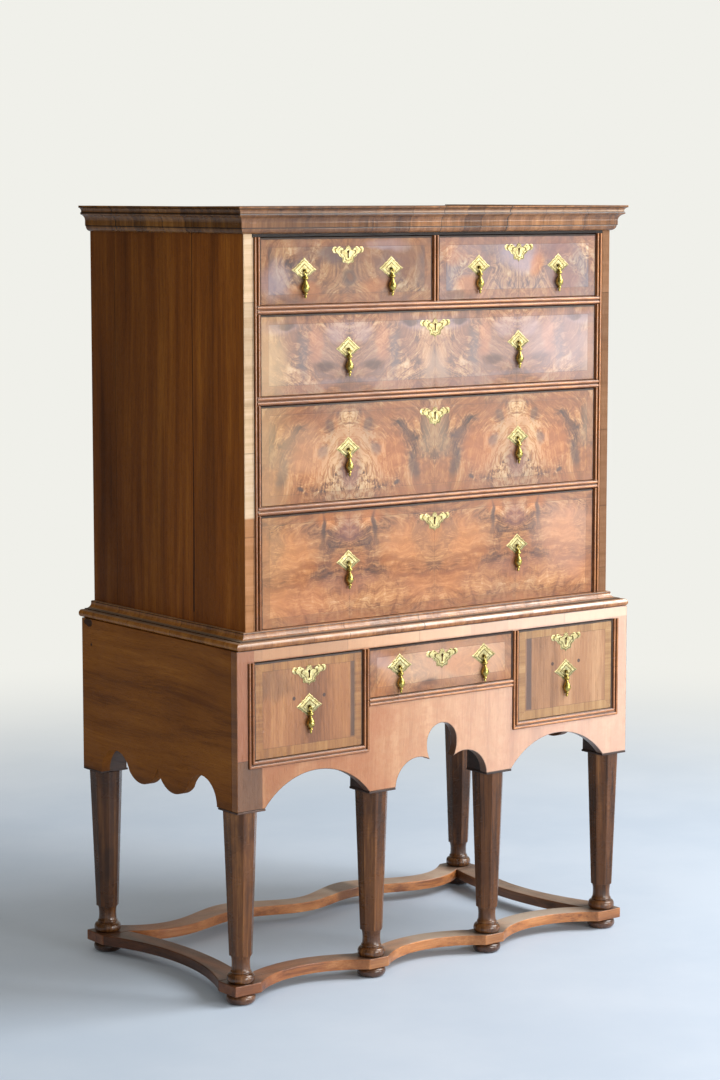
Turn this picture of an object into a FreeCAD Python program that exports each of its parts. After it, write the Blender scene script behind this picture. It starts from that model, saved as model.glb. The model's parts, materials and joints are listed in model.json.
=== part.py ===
"""Walnut chest on stand: five drawers above, three in a six-legged stand.

Millimetres. +X is to the right of someone facing the front, -Y comes out of the
front, +Z is up. The origin is on the floor, under the middle of the whole object.
"""
import FreeCAD, Part
import math
import os
import re

from FreeCAD import Placement, Rotation, Vector

# ---------------------------------------------------------------- dimensions

DIMENSIONS = [
    ("overall_height", 1530, "floor to top of cornice"),
    ("case_back", 289.1, "Y of the upper case's back"),
    ("upper_width", 924, "upper case, across the sides"),
    ("upper_depth", 540.8, "upper case, front to back"),
    ("stand_width", 1000, "stand, across the sides"),
    ("stand_front", -276.9, "Y of the stand's front face"),
    ("stand_back", 277.1, "Y of the stand's back face"),
    ("stand_top", 694, "Z where the upper case meets the stand"),
    ("apron_bottom", 384, "Z of the apron's brackets"),
    ("board", 20, "thickness of sides, fronts and frames"),
    ("back_board", 12, "thickness of back boards"),
    ("cornice_bottom", 1478.5, "Z of the cornice's lower edge"),
    ("cornice_reach", 26.8, "how far the cornice stands out"),
    ("waist_height", 32, "height of the waist moulding"),
    ("waist_reach_side", 38, "waist moulding out from the upper side"),
    ("waist_reach_front", 28, "waist moulding out from the upper front"),
    ("top_board_bottom", 1510, "Z of the underside of the top board"),
    ("top_board_thickness", 18, "top board"),
    ("opening_half", 424, "half width of the long drawer openings"),
    ("partition_half", 8, "half width of the upright between small drawers"),
    ("rail_height", 16.5, "height of each rail between drawers"),
    ("rail_depth", 70, "depth of each rail"),
    ("row_four_bottom", 726, "Z of the lowest upper opening"),
    ("row_three_bottom", 962, "Z of the third opening"),
    ("row_two_bottom", 1171.5, "Z of the second opening"),
    ("row_one_bottom", 1344, "Z of the top openings"),
    ("row_one_top", 1473, "Z of the top edge of the top openings"),
    ("frieze_bottom", 670, "Z of the top edge of the stand's openings"),
    ("deep_bottom", 480, "Z of the deep stand drawers' openings"),
    ("shallow_bottom", 570.5, "Z of the middle stand drawer's opening"),
    ("deep_outer", 459, "X of a deep opening's outer edge"),
    ("deep_inner", 200, "X of a deep opening's inner edge"),
    ("shallow_half", 184, "half width of the middle stand opening"),
    ("partition_thin", 12, "thickness of the stand's partitions"),
    ("runner_width", 28, "width of a runner under a drawer side"),
    ("guide_height", 22, "height of a drawer guide"),
    ("bead_radius", 3.6, "one of the two half-round beads"),
    ("bead_band", 16, "width of a pair of beads"),
    ("gap", 1.0, "clearance round a drawer front"),
    ("slide_gap", 0.4, "clearance under a drawer"),
    ("front_recess", 1.0, "drawer fronts behind the frame's face"),
    ("drawer_side", 10, "thickness of drawer sides and backs"),
    ("drawer_bottom", 8, "thickness of drawer bottoms"),
    ("bottom_lift", 5, "drawer bottom above the side's lower edge"),
    ("side_drop", 8, "drawer sides below the front's top edge"),
    ("upper_drawer_depth", 490, "front to back behind a drawer front"),
    ("stand_drawer_depth", 485, "the same in the stand"),
    ("leg_x", 468.5, "X of the corner legs"),
    ("middle_leg_x", 150.5, "X of the middle front legs"),
    ("front_leg_y", -240, "Y of the front legs"),
    ("back_leg_y", 241, "Y of the back legs"),
    ("leg_top", 380, "Z of the top of the octagonal shafts"),
    ("leg_top_flats", 62, "across the flats at the top"),
    ("leg_foot_flats", 41.4, "across the flats at the bottom"),
    ("shaft_bottom", 95, "Z of the bottom of the octagonal shafts"),
    ("collar_radius", 21.5, "round collar under the shaft"),
    ("collar_height", 6, "height of that collar"),
    ("neck_radius", 18.3, "turned neck"),
    ("knop_radius", 26, "turned ring over the stretcher"),
    ("knop_height", 23, "height of that ring"),
    ("dowel_radius", 10, "dowel at each end of a leg"),
    ("dowel_gap", 0.05, "clearance round a dowel"),
    ("top_dowel", 44, "length of the upper dowel"),
    ("foot_dowel", 33, "length of the lower dowel"),
    ("cap_width", 66, "square cap plate over a leg"),
    ("block_top", 464, "Z of the top of the leg blocks"),
    ("stretcher_top", 41, "Z of the stretcher's upper face"),
    ("foot_height", 20, "bun foot, and the stretcher's lower face"),
    ("foot_radius", 29, "bun foot"),
    ("plate_thickness", 1.2, "brass plates"),
    ("pivot_out", 5.0, "pivot in front of the drawer's face"),
    ("loop_radius", 2.6, "staple's loop, to the middle of the wire"),
    ("wire_radius", 0.8, "staple's wire"),
    ("staple_hole", 3.5, "radius of the hole the staple passes"),
    ("bend_radius", 1.0, "bends where a staple's legs are clinched"),
    ("tail_gap", 0.1, "clinched tails off the wood"),
    ("tail_length", 9, "clinched tail of a staple"),
    ("eye_down", 3.4, "middle of a drop's eye below its pivot"),
    ("eye_radius", 4.5, "outside of the eye"),
    ("eye_hole", 2.3, "hole in the eye"),
    ("eye_thickness", 2.2, "thickness of the eye"),
    ("pin_radius", 1.4, "rounded top of the eye, which turns in the staple"),
    ("pin_length", 2.6, "length of that round"),
    ("drop_flat", 3.5, "drop's flat back behind its axis"),
    ("bulb_radius", 8.2, "widest part of a drop"),
    ("drop_length", 52, "a drop below its pivot"),
    ("lozenge_half", 29.5, "half width of an upper plate"),
    ("stand_brass_scale", 1.07, "stand brasses against the upper ones"),
    ("keyhole_radius", 2.9, "round part of a keyhole"),
    ("keyhole_slot", 3.2, "width of a keyhole's slot"),
    ("keyhole_drop", 12.5, "length of a keyhole's slot"),
    ("lock_width", 56, "lock case"),
    ("lock_height", 34, "lock case"),
    ("lock_thickness", 9, "lock case"),
]

doc = FreeCAD.newDocument("chest_on_stand")
sheet = doc.addObject("Spreadsheet::Sheet", "dims")
for row, (alias, value, note) in enumerate(DIMENSIONS, 1):
    sheet.set(f"A{row}", note)
    sheet.set(f"B{row}", str(value))
    sheet.setAlias(f"B{row}", alias)
doc.recompute()

ALIASES = {alias for alias, _, _ in DIMENSIONS}
size = {alias: float(sheet.get(alias)) for alias in ALIASES}
nodes = []


# ------------------------------------------------------------------- helpers


def formula(text):
    """The same arithmetic, with every dimension's name read from the sheet."""
    return re.sub(r"[a-z_]+", lambda word: "dims." + word[0] if word[0] in ALIASES else word[0], str(text))


def bind(item, formulas):
    """Ties an object's properties to the sheet."""
    for name, text in formulas.items():
        item.setExpression(name, formula(text))


def place(item, x, y, z):
    """Ties an object's position to the sheet."""
    bind(item, {"Placement.Base.x": x, "Placement.Base.y": y, "Placement.Base.z": z})


def node(item, name):
    """Marks an object as one of the pieces that are written out."""
    item.Label = name
    nodes.append(item)
    return item


def board(name, x, y, z):
    """A square-edged board between the given faces: x, y and z are (low, high)."""
    item = doc.addObject("Part::Box", name)
    sides = {"Length": x, "Width": y, "Height": z}
    bind(item, {side: f"({high}) - ({low})" for side, (low, high) in sides.items()})
    place(item, x[0], y[0], z[0])
    return item


TURN = {
    "x": Rotation(Vector(0, 1, 0), 90),
    "y": Rotation(Vector(1, 0, 0), -90),
    "z": Rotation(),
}


def rod(name, radius, length, start, along="z"):
    """A round rod that runs from start along one axis."""
    item = doc.addObject("Part::Cylinder", name)
    item.Placement = Placement(Vector(), TURN[along])
    bind(item, {"Radius": radius, "Height": length})
    place(item, *start)
    return item


def ring(name, major, minor, centre, along="z"):
    """A ring round one axis."""
    item = doc.addObject("Part::Torus", name)
    item.Placement = Placement(Vector(), TURN[along])
    bind(item, {"Radius1": major, "Radius2": minor})
    place(item, *centre)
    return item


def joined(name, pieces):
    """One solid made of overlapping pieces."""
    item = doc.addObject("Part::MultiFuse", name)
    item.Shapes = pieces
    return item


def group(name, pieces):
    """Separate solids kept together."""
    item = doc.addObject("Part::Compound", name)
    item.Links = pieces
    return item


def cut(name, base, tools):
    """A piece with the tools' space taken out."""
    item = doc.addObject("Part::Cut", name)
    item.Base = base
    item.Tool = tools[0] if len(tools) == 1 else group(name + "_tools", tools)
    return item


def made(name, shape):
    """A piece whose outline neither a primitive nor a sketch fits well."""
    item = doc.addObject("Part::Feature", name)
    item.Shape = shape
    return item


def line(start, end):
    return Part.LineSegment(start, end).toShape()


def arc(start, middle, end):
    return Part.Arc(start, middle, end).toShape()


def outline(points):
    """Closed wire through (x, y) points on the XY plane. A point given as
    ("arc", x, y) is the middle of an arc between its neighbours."""
    corners = list(points) + [points[0]]
    edges = []
    start = Vector(*corners[0], 0)
    middle = None
    for point in corners[1:]:
        if point[0] == "arc":
            middle = Vector(point[1], point[2], 0)
            continue
        end = Vector(*point, 0)
        edges.append(arc(start, middle, end) if middle else line(start, end))
        start, middle = end, None
    return Part.Wire(edges)


def mirrored(points):
    """An outline() list's mirror image, in the order that carries on round."""
    return [("arc", -p[1], p[2]) if p[0] == "arc" else (-p[0], p[1]) for p in reversed(points)]


def prism(wire, height):
    """The wire's face, raised along +Z."""
    return Part.Face(wire).extrude(Vector(0, 0, height))


def stood_up(shape, y):
    """An outline's X and Y become X and Z, and its thickness comes forward from y."""
    shape.transformShape(Placement(Vector(0, y, 0), Rotation(Vector(1, 0, 0), 90)).toMatrix())
    return shape


def fixed_on(shape, x, face, z):
    """A flat plate stood up and set with its back on a front face."""
    stood_up(shape, face)
    shape.translate(Vector(x, 0, z))
    return shape


# ------------------------------------------------------------- derived places

UPPER_SIDE = "upper_width/2"
UPPER_FRONT = "case_back - upper_depth"
UPPER_BACK = "case_back - back_board"
STAND_SIDE = "stand_width/2"
STAND_BACK = "stand_back - back_board"
SIGNS = {"left": -1, "right": 1}
RAIL_TOPS = {"three": "row_three_bottom", "two": "row_two_bottom", "one": "row_one_bottom"}


def spread(sign, low, high):
    """The (low, high) pair on the right, or its mirror image on the left."""
    return (low, high) if sign > 0 else (f"-({high})", f"-({low})")


# ----------------------------------------------------------------- upper case


def upper_boards():
    for side, sign in SIGNS.items():
        x = spread(sign, f"{UPPER_SIDE} - board", UPPER_SIDE)
        y = (UPPER_FRONT, "case_back")
        node(board(f"upper_{side}_side_board", x, y, ("stand_top", "top_board_bottom")), f"upper_{side}_side")
    full = (f"-{UPPER_SIDE}", UPPER_SIDE)
    inside = (f"board - {UPPER_SIDE}", f"{UPPER_SIDE} - board")
    top = ("top_board_bottom", "top_board_bottom + top_board_thickness")
    node(board("top_board", full, (UPPER_FRONT, "case_back"), top), "upper_top_board")
    floor = ("stand_top", "stand_top + board")
    bottom = board("case_floor", inside, (f"{UPPER_FRONT} + board", UPPER_BACK), floor)
    node(bottom, "upper_bottom_board")
    count = 4
    width = f"({UPPER_SIDE} - board)*2/{count}"
    z = ("stand_top", "top_board_bottom")
    backs = []
    for index in range(count):
        low = f"board - {UPPER_SIDE} + {width}*{index}"
        x = (f"{low} + gap/4", f"{low} + {width} - gap/4")
        backs.append(board(f"case_back_{index + 1}", x, (UPPER_BACK, "case_back"), z))
    node(group("case_backs", backs), "upper_back_boards")


def upper_frame():
    """Stiles, rails and the upright between the two small drawers."""
    front = (UPPER_FRONT, f"{UPPER_FRONT} + rail_depth")
    pieces = []
    for side, sign in SIGNS.items():
        x = spread(sign, "opening_half", f"{UPPER_SIDE} - board")
        stile = (UPPER_FRONT, f"{UPPER_FRONT} + board")
        pieces.append(board(f"upper_{side}_stile", x, stile, ("stand_top", "top_board_bottom")))
    across = ("-opening_half", "opening_half")
    for row_name, top in RAIL_TOPS.items():
        pieces.append(board(f"rail_under_row_{row_name}", across, front, (f"{top} - rail_height", top)))
    pieces.append(board("top_rail", across, front, ("row_one_top", "top_board_bottom")))
    lowest = (UPPER_FRONT, f"{UPPER_FRONT} + board")
    pieces.append(board("bottom_rail", across, lowest, ("stand_top", "row_four_bottom")))
    upright = ("-partition_half", "partition_half")
    pieces.append(board("upright", upright, front, ("row_one_bottom", "row_one_top")))
    node(group("upper_frame", pieces), "upper_front_frame")


def upper_runners():
    """Runners under the drawer sides and guides beside them."""
    pieces = []
    inside = f"{UPPER_SIDE} - board"
    y_rail = (f"{UPPER_FRONT} + rail_depth", UPPER_BACK)
    y_floor = (f"{UPPER_FRONT} + board", UPPER_BACK)
    levels = {
        "four": ("row_four_bottom", "stand_top + board", y_floor),
        "three": ("row_three_bottom", "row_three_bottom - rail_height", y_rail),
        "two": ("row_two_bottom", "row_two_bottom - rail_height", y_rail),
        "one": ("row_one_bottom", "row_one_bottom - rail_height", y_rail),
    }
    for row_name, (top, bottom, y) in levels.items():
        for side, sign in SIGNS.items():
            name = f"row_{row_name}_{side}"
            under = spread(sign, "opening_half - runner_width", inside)
            pieces.append(board(name + "_runner", under, y, (bottom, top)))
            beside = spread(sign, "opening_half", inside)
            pieces.append(board(name + "_guide", beside, y, (top, f"{top} + guide_height")))
    middle = ("-runner_width - partition_half", "runner_width + partition_half")
    pieces.append(board("middle_runner", middle, y_rail, ("row_one_bottom - rail_height", "row_one_bottom")))
    guide = ("-partition_half", "partition_half")
    pieces.append(board("middle_guide", guide, y_rail, ("row_one_bottom", "row_one_bottom + guide_height")))
    return pieces


# ---------------------------------------------------------------------- stand


def stand_apron():
    """Front board with two arches and a keyhole-shaped middle, stepped at the top
    round the three drawers."""
    bottom = size["apron_bottom"]
    outer = size["stand_width"] / 2
    arch_outer, arch_middle, arch_inner = 435, 309, 183
    arch_top = 445
    bracket_inner = 117
    lobe_x, lobe_z, lobe_radius = 60, 382, 56.5
    lobe_diagonal = lobe_radius * 0.7071
    cusp = (30, 430)
    eye_z, eye_radius = 464, 37.5
    eye_diagonal = eye_radius * 0.7071
    half = [
        (0, size["shallow_bottom"]),
        (size["shallow_half"], size["shallow_bottom"]),
        (size["shallow_half"], size["deep_bottom"]),
        (outer, size["deep_bottom"]),
        (outer, bottom),
        (arch_outer, bottom),
        ("arc", arch_middle, arch_top),
        (arch_inner, bottom),
        (bracket_inner, bottom),
        ("arc", lobe_x + lobe_diagonal, lobe_z + lobe_diagonal),
        cusp,
        ("arc", 36.2, 446),
        (eye_radius, eye_z),
        ("arc", eye_diagonal, eye_z + eye_diagonal),
        (0, eye_z + eye_radius),
    ]
    wire = outline(half + mirrored(half[1:-1]))
    return made("apron_board", stood_up(prism(wire, size["board"]), size["stand_front"] + size["board"]))


def stand_front():
    y = ("stand_front", "stand_front + board")
    pieces = [stand_apron()]
    full = (f"-{STAND_SIDE}", STAND_SIDE)
    pieces.append(board("frieze_rail", full, y, ("frieze_bottom", "stand_top")))
    for side, sign in SIGNS.items():
        high = ("deep_bottom", "frieze_bottom")
        pieces.append(board(f"stand_{side}_stile", spread(sign, "deep_outer", STAND_SIDE), y, high))
        pieces.append(board(f"stand_{side}_upright", spread(sign, "shallow_half", "deep_inner"), y, high))
    node(group("stand_front_pieces", pieces), "stand_front_frame")


def stand_side(side, sign):
    """Side board with two round arches, two hanging lobes and a pointed middle."""
    bottom = size["apron_bottom"]
    low_y = size["stand_front"] + size["board"]
    high_y = size["stand_back"]
    arch_outer, arch_middle, arch_radius = 207, 154, 53
    arch_inner, arch_end = 103, 403
    lobe_middle = 58
    lobe_inner, lobe_end = 9, 409
    cusp_top = 425
    half = [
        (0, cusp_top),
        ("arc", 5.5, 415),
        (lobe_inner, lobe_end),
        ("arc", lobe_middle, bottom),
        (arch_inner, arch_end),
        ("arc", arch_middle, bottom + arch_radius),
        (arch_outer, bottom),
    ]
    top_edge = [(high_y, bottom), (high_y, size["stand_top"]), (low_y, size["stand_top"]), (low_y, bottom)]
    edge = half + top_edge + mirrored(half[1:])
    shape = prism(outline(edge), size["board"])
    turn = Rotation(Vector(0, 1, 0), Vector(0, 0, 1), Vector(1, 0, 0), "ZXY")
    inner_face = size["stand_width"] / 2 - size["board"]
    x = inner_face if sign > 0 else -inner_face - size["board"]
    shape.transformShape(Placement(Vector(x, 0, 0), turn).toMatrix())
    node(made(f"stand_{side}_board", shape), f"stand_{side}_side")


def stand_boards():
    for side, sign in SIGNS.items():
        stand_side(side, sign)
    inside = (f"board - {STAND_SIDE}", f"{STAND_SIDE} - board")
    back = board("stand_back_plank", inside, (STAND_BACK, "stand_back"), ("block_top", "stand_top"))
    node(back, "stand_back_board")
    top_y = ("stand_front + board", STAND_BACK)
    top_z = ("stand_top - board + slide_gap", "stand_top")
    node(board("stand_top_plank", inside, top_y, top_z), "stand_top_board")


def stand_runners():
    """Partitions behind the uprights, with runners on both faces, and guides."""
    pieces = []
    inside = f"{STAND_SIDE} - board"
    y = ("stand_front + board", STAND_BACK)
    deep_z = ("deep_bottom - bead_band + gap", "deep_bottom")
    shallow_z = ("shallow_bottom - bead_band", "shallow_bottom")
    inner_face = "shallow_half + gap*2"
    outer_face = f"{inner_face} + partition_thin"
    for side, sign in SIGNS.items():
        name = f"stand_{side}"
        wall = spread(sign, inner_face, outer_face)
        pieces.append(board(name + "_partition", wall, y, (deep_z[0], "stand_top - board")))
        beside_wall = spread(sign, outer_face, f"{outer_face} + runner_width")
        pieces.append(board(name + "_inner_runner", beside_wall, y, deep_z))
        outer = spread(sign, "deep_outer - runner_width", inside)
        pieces.append(board(name + "_outer_runner", outer, y, deep_z))
        guide = spread(sign, "deep_outer + gap", inside)
        pieces.append(board(name + "_guide", guide, y, ("deep_bottom", "deep_bottom + guide_height")))
        shallow = spread(sign, f"{inner_face} - runner_width", inner_face)
        pieces.append(board(name + "_shallow_runner", shallow, y, shallow_z))
    return pieces


# -------------------------------------------------------------------- beading

ACROSS = Rotation(Vector(0, 0, 1), Vector(0, -1, 0), Vector(1, 0, 0), "ZXY")
UPWARDS = Rotation(Vector(-1, 0, 0), Vector(0, -1, 0), Vector(0, 0, 1), "ZXY")


def bead(name, face, x, z):
    """A half-round bead on a front face. The pair given for x or z says which way
    it runs and how far."""
    item = doc.addObject("Part::Cylinder", name)
    runs_across = isinstance(x, tuple)
    low, high = x if runs_across else z
    item.Placement = Placement(Vector(), ACROSS if runs_across else UPWARDS)
    item.Angle = 180
    bind(item, {"Radius": "bead_radius", "Height": f"({high}) - ({low})"})
    place(item, low if runs_across else x, face, z if runs_across else low)
    return item


def upper_beading():
    pieces = []
    face = UPPER_FRONT
    far, near = "opening_half + bead_band*3/4", "opening_half + bead_band/4"
    spans = {
        "four": ("row_four_bottom", "row_three_bottom - rail_height"),
        "three": ("row_three_bottom", "row_two_bottom - rail_height"),
        "two": ("row_two_bottom", "row_one_bottom - rail_height"),
        "one": ("row_one_bottom", "row_one_top"),
    }
    rail_end = "opening_half + bead_band/2"
    for side, sign in SIGNS.items():
        flip = "" if sign > 0 else "-"
        full = ("row_four_bottom", "row_one_top")
        pieces.append(bead(f"upper_{side}_outer_bead", face, f"{flip}({far})", full))
        for span_name, span in spans.items():
            pieces.append(bead(f"upper_{side}_bead_{span_name}", face, f"{flip}({near})", span))
        upright_x = f"{flip}partition_half/2"
        pieces.append(bead(f"upright_{side}_bead", face, upright_x, spans["one"]))
    for rail_name, top in RAIL_TOPS.items():
        for place_name, share in {"lower": "3/4", "higher": "1/4"}.items():
            z = f"{top} - rail_height*{share}"
            name = f"rail_{rail_name}_{place_name}_bead"
            pieces.append(bead(name, face, (f"-({rail_end})", rail_end), z))
    node(group("upper_beads", pieces), "upper_beading")


def bead_corner(name, face, x, z):
    """The half ball that rounds the corner where two beads meet."""
    item = doc.addObject("Part::Sphere", name)
    item.Placement = Placement(Vector(), Rotation(Vector(1, 0, 0), 90))
    item.Angle1, item.Angle2 = 0, 90
    bind(item, {"Radius": "bead_radius"})
    place(item, x, face, z)
    return item


def beaded_edge(name, face, sign, inset):
    """One bead down both sides of a deep opening and along its lower edge, its middle
    line an inset away from the opening."""
    low = f"deep_bottom - {inset}"
    across = spread(sign, f"deep_inner - {inset}", f"deep_outer + {inset}")
    pieces = [bead(name + "_lower_bead", face, across, low)]
    for end, x in zip(("left", "right"), across):
        pieces.append(bead(f"{name}_{end}_bead", face, x, (low, "frieze_bottom")))
        pieces.append(bead_corner(f"{name}_{end}_corner", face, x, low))
    return joined(name, pieces)


def stand_beading():
    pieces = []
    face = "stand_front"
    for side, sign in SIGNS.items():
        pieces.append(beaded_edge(f"stand_{side}_inner_beading", face, sign, "bead_band/4"))
        pieces.append(beaded_edge(f"stand_{side}_outer_beading", face, sign, "bead_band*3/4"))
    across = ("-shallow_half", "shallow_half")
    pieces.append(bead("middle_upper_bead", face, across, "shallow_bottom - bead_band/4"))
    pieces.append(bead("middle_lower_bead", face, across, "shallow_bottom - bead_band*3/4"))
    node(group("stand_beads", pieces), "stand_beading")


# ------------------------------------------------------------------ mouldings


def mitred_moulding(name, profile, corner, reach, bottom):
    """Front and side lengths of a moulding round a case. The profile's points are
    (share of the reach, height), with arcs as in outline(), so that the front and the
    sides meet in the mitre even where one reaches out less than the other."""
    corner_x, front_y = corner
    reach_x, reach_y = reach
    outer_x, outer_y, back = corner_x + reach_x, front_y - reach_y, size["case_back"]
    height = profile[-1][-1]

    def section(out):
        points = [(p[0], p[1] * out, p[2]) if p[0] == "arc" else (p[0] * out, p[1]) for p in profile]
        return outline(points)

    def between_mitres(shape, plan):
        block = prism(outline(plan), height + 2)
        block.translate(Vector(0, 0, bottom - 1))
        return shape.common(block).Solids[0]

    front = prism(section(reach_y), outer_x * 2)
    turn = Rotation(Vector(0, -1, 0), Vector(0, 0, 1), Vector(-1, 0, 0), "ZXY")
    front.transformShape(Placement(Vector(outer_x, front_y, bottom), turn).toMatrix())
    front_plan = [(-corner_x, front_y), (corner_x, front_y), (outer_x, outer_y), (-outer_x, outer_y)]
    front = between_mitres(front, front_plan)

    right = stood_up(prism(section(reach_x), back - outer_y), back)
    right.translate(Vector(corner_x, 0, bottom))
    right_plan = [(corner_x, front_y), (corner_x, back), (outer_x, back), (outer_x, outer_y)]
    right = between_mitres(right, right_plan)
    left = right.mirror(Vector(0, 0, 0), Vector(1, 0, 0))

    lengths = {"front": front, "left": left, "right": right}
    node(group(name + "_lengths", [made(f"{name}_{key}", shape) for key, shape in lengths.items()]), name)


def cornice():
    top = size["overall_height"] - size["cornice_bottom"]
    profile = [
        (0, 0),
        (0.12, 0.8),
        ("arc", 0.30, 4.6),
        (0.37, 11),
        (0.43, 11),
        (0.43, 19),
        ("arc", 0.51, 28),
        (0.72, 33),
        ("arc", 0.84, 36),
        (0.76, 39),
        ("arc", 0.84, 45),
        (1.0, 47.5),
        (1.0, top),
        (0, top),
    ]
    corner = (size["upper_width"] / 2, size["case_back"] - size["upper_depth"])
    reach = (size["cornice_reach"], size["cornice_reach"])
    mitred_moulding("cornice_moulding", profile, corner, reach, size["cornice_bottom"])


def waist():
    top = size["waist_height"] - size["front_recess"]
    profile = [
        (0, 0),
        (0.80, 0),
        ("arc", 1.0, 7.5),
        (0.80, 15),
        (0.62, 15),
        (0.62, 17),
        ("arc", 0.34, 18.5),
        (0.21, 24),
        (0.21, 29),
        ("arc", 0.19, 30.4),
        (0.15, top),
        (0, top),
    ]
    corner = (size["upper_width"] / 2, size["case_back"] - size["upper_depth"])
    reach = (size["waist_reach_side"], size["waist_reach_front"])
    mitred_moulding("waist_moulding", profile, corner, reach, size["stand_top"])


# ----------------------------------------------------------- legs, feet, floor

LEGS = {
    "front_left": ("-leg_x", "front_leg_y"),
    "middle_left": ("-middle_leg_x", "front_leg_y"),
    "middle_right": ("middle_leg_x", "front_leg_y"),
    "front_right": ("leg_x", "front_leg_y"),
    "back_left": ("-leg_x", "back_leg_y"),
    "back_right": ("leg_x", "back_leg_y"),
}
# The circle round a regular octagon, over the distance across its flats.
FLATS_TO_CORNER = 0.541196


def leg(name, x, y):
    """Octagonal taper over a turned collar, neck and ring, with a dowel at each end."""
    ends = {"foot": ("shaft_bottom", "leg_foot_flats"), "head": ("leg_top", "leg_top_flats")}
    sections = []
    for end_name, (z, flats) in ends.items():
        octagon = doc.addObject("Part::RegularPolygon", f"{name}_{end_name}_octagon")
        octagon.Polygon = 8
        octagon.Placement = Placement(Vector(), Rotation(Vector(0, 0, 1), 22.5))
        bind(octagon, {"Circumradius": f"{flats}*{FLATS_TO_CORNER}"})
        place(octagon, x, y, z)
        sections.append(octagon)
    shaft = doc.addObject("Part::Loft", name + "_shaft")
    shaft.Sections = sections
    shaft.Solid = True
    shaft.Ruled = True
    knop_z = "stretcher_top + knop_height/2"
    pieces = [
        shaft,
        rod(name + "_collar", "collar_radius", "collar_height", (x, y, "shaft_bottom - collar_height")),
        rod(name + "_neck", "neck_radius", "shaft_bottom - stretcher_top", (x, y, "stretcher_top")),
        ring(name + "_knop", "knop_radius - knop_height/2", "knop_height/2", (x, y, knop_z)),
        rod(name + "_head_dowel", "dowel_radius", "top_dowel + board", (x, y, "leg_top - board")),
        rod(name + "_foot_dowel", "dowel_radius", "foot_dowel", (x, y, "stretcher_top - foot_dowel")),
    ]
    return joined(name + "_leg", pieces)


def dowel_hole(name, x, y, low, high):
    """A hole for a leg's dowel, from low to high."""
    return rod(name, "dowel_radius + dowel_gap", f"({high}) - ({low})", (x, y, low))


def legs_and_feet():
    legs, feet, blocks = [], [], []
    half_height = "foot_height/2"
    core_radius = f"foot_radius - {half_height}"
    for name, (x, y) in LEGS.items():
        legs.append(leg(name, x, y))
        core = rod(name + "_bun_core", core_radius, "foot_height", (x, y, "0"))
        rim = ring(name + "_bun_rim", core_radius, half_height, (x, y, half_height))
        hole = dowel_hole(name + "_foot_hole", x, y, "stretcher_top - foot_dowel", "foot_height")
        feet.append(cut(name + "_foot", joined(name + "_bun", [core, rim]), [hole]))
        blocks += leg_fixings(name, x, y)
    node(group("six_legs", legs), "legs")
    node(group("six_feet", feet), "bun_feet")
    node(group("caps_and_blocks", blocks), "leg_blocks")


def leg_fixings(name, x, y):
    """The square cap plate over a leg and the block behind the apron."""
    at_back = y == "back_leg_y"
    if "middle" in name:
        cap_x = (f"{x} - cap_width/2", f"{x} + cap_width/2")
        block_x = (f"{x} - leg_top_flats/2", f"{x} + leg_top_flats/2")
    else:
        sign = 1 if "right" in name else -1
        cap_x = spread(sign, f"{STAND_SIDE} - cap_width", STAND_SIDE)
        block_x = spread(sign, "leg_x - leg_top_flats/2", f"{STAND_SIDE} - board")
    if at_back:
        cap_y = ("stand_back - cap_width", "stand_back")
        block_y = cap_y
    else:
        cap_y = ("stand_front", "stand_front + cap_width")
        block_y = ("stand_front + board", cap_y[1])
    cap = board(name + "_cap_plate", cap_x, cap_y, ("leg_top", "apron_bottom"))
    block = board(name + "_block_body", block_x, block_y, ("apron_bottom", "block_top"))
    dowel_top = "leg_top + top_dowel"
    return [
        cut(name + "_cap", cap, [dowel_hole(name + "_cap_hole", x, y, "leg_top", "apron_bottom")]),
        cut(name + "_block", block, [dowel_hole(name + "_block_hole", x, y, "apron_bottom", dowel_top)]),
    ]


def spline(points):
    curve = Part.BSplineCurve()
    curve.interpolate([Vector(x, y, 0) for x, y in points])
    return curve.toShape()


def drilled(name, shape, leg_names):
    """A stretcher's flat board with the holes for its legs' dowels."""
    shape.translate(Vector(0, 0, size["foot_height"]))
    holes = []
    for leg_name in leg_names:
        x, y = LEGS[leg_name]
        holes.append(dowel_hole(f"{name}_{leg_name}_hole", x, y, "foot_height", "stretcher_top"))
    return cut(name + "_drilled", made(name + "_board", shape), holes)


BLOCK_INNER = 438  # X where a stretcher's corner block ends
BLOCK_REACH = 31  # half the corner block's depth


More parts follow.
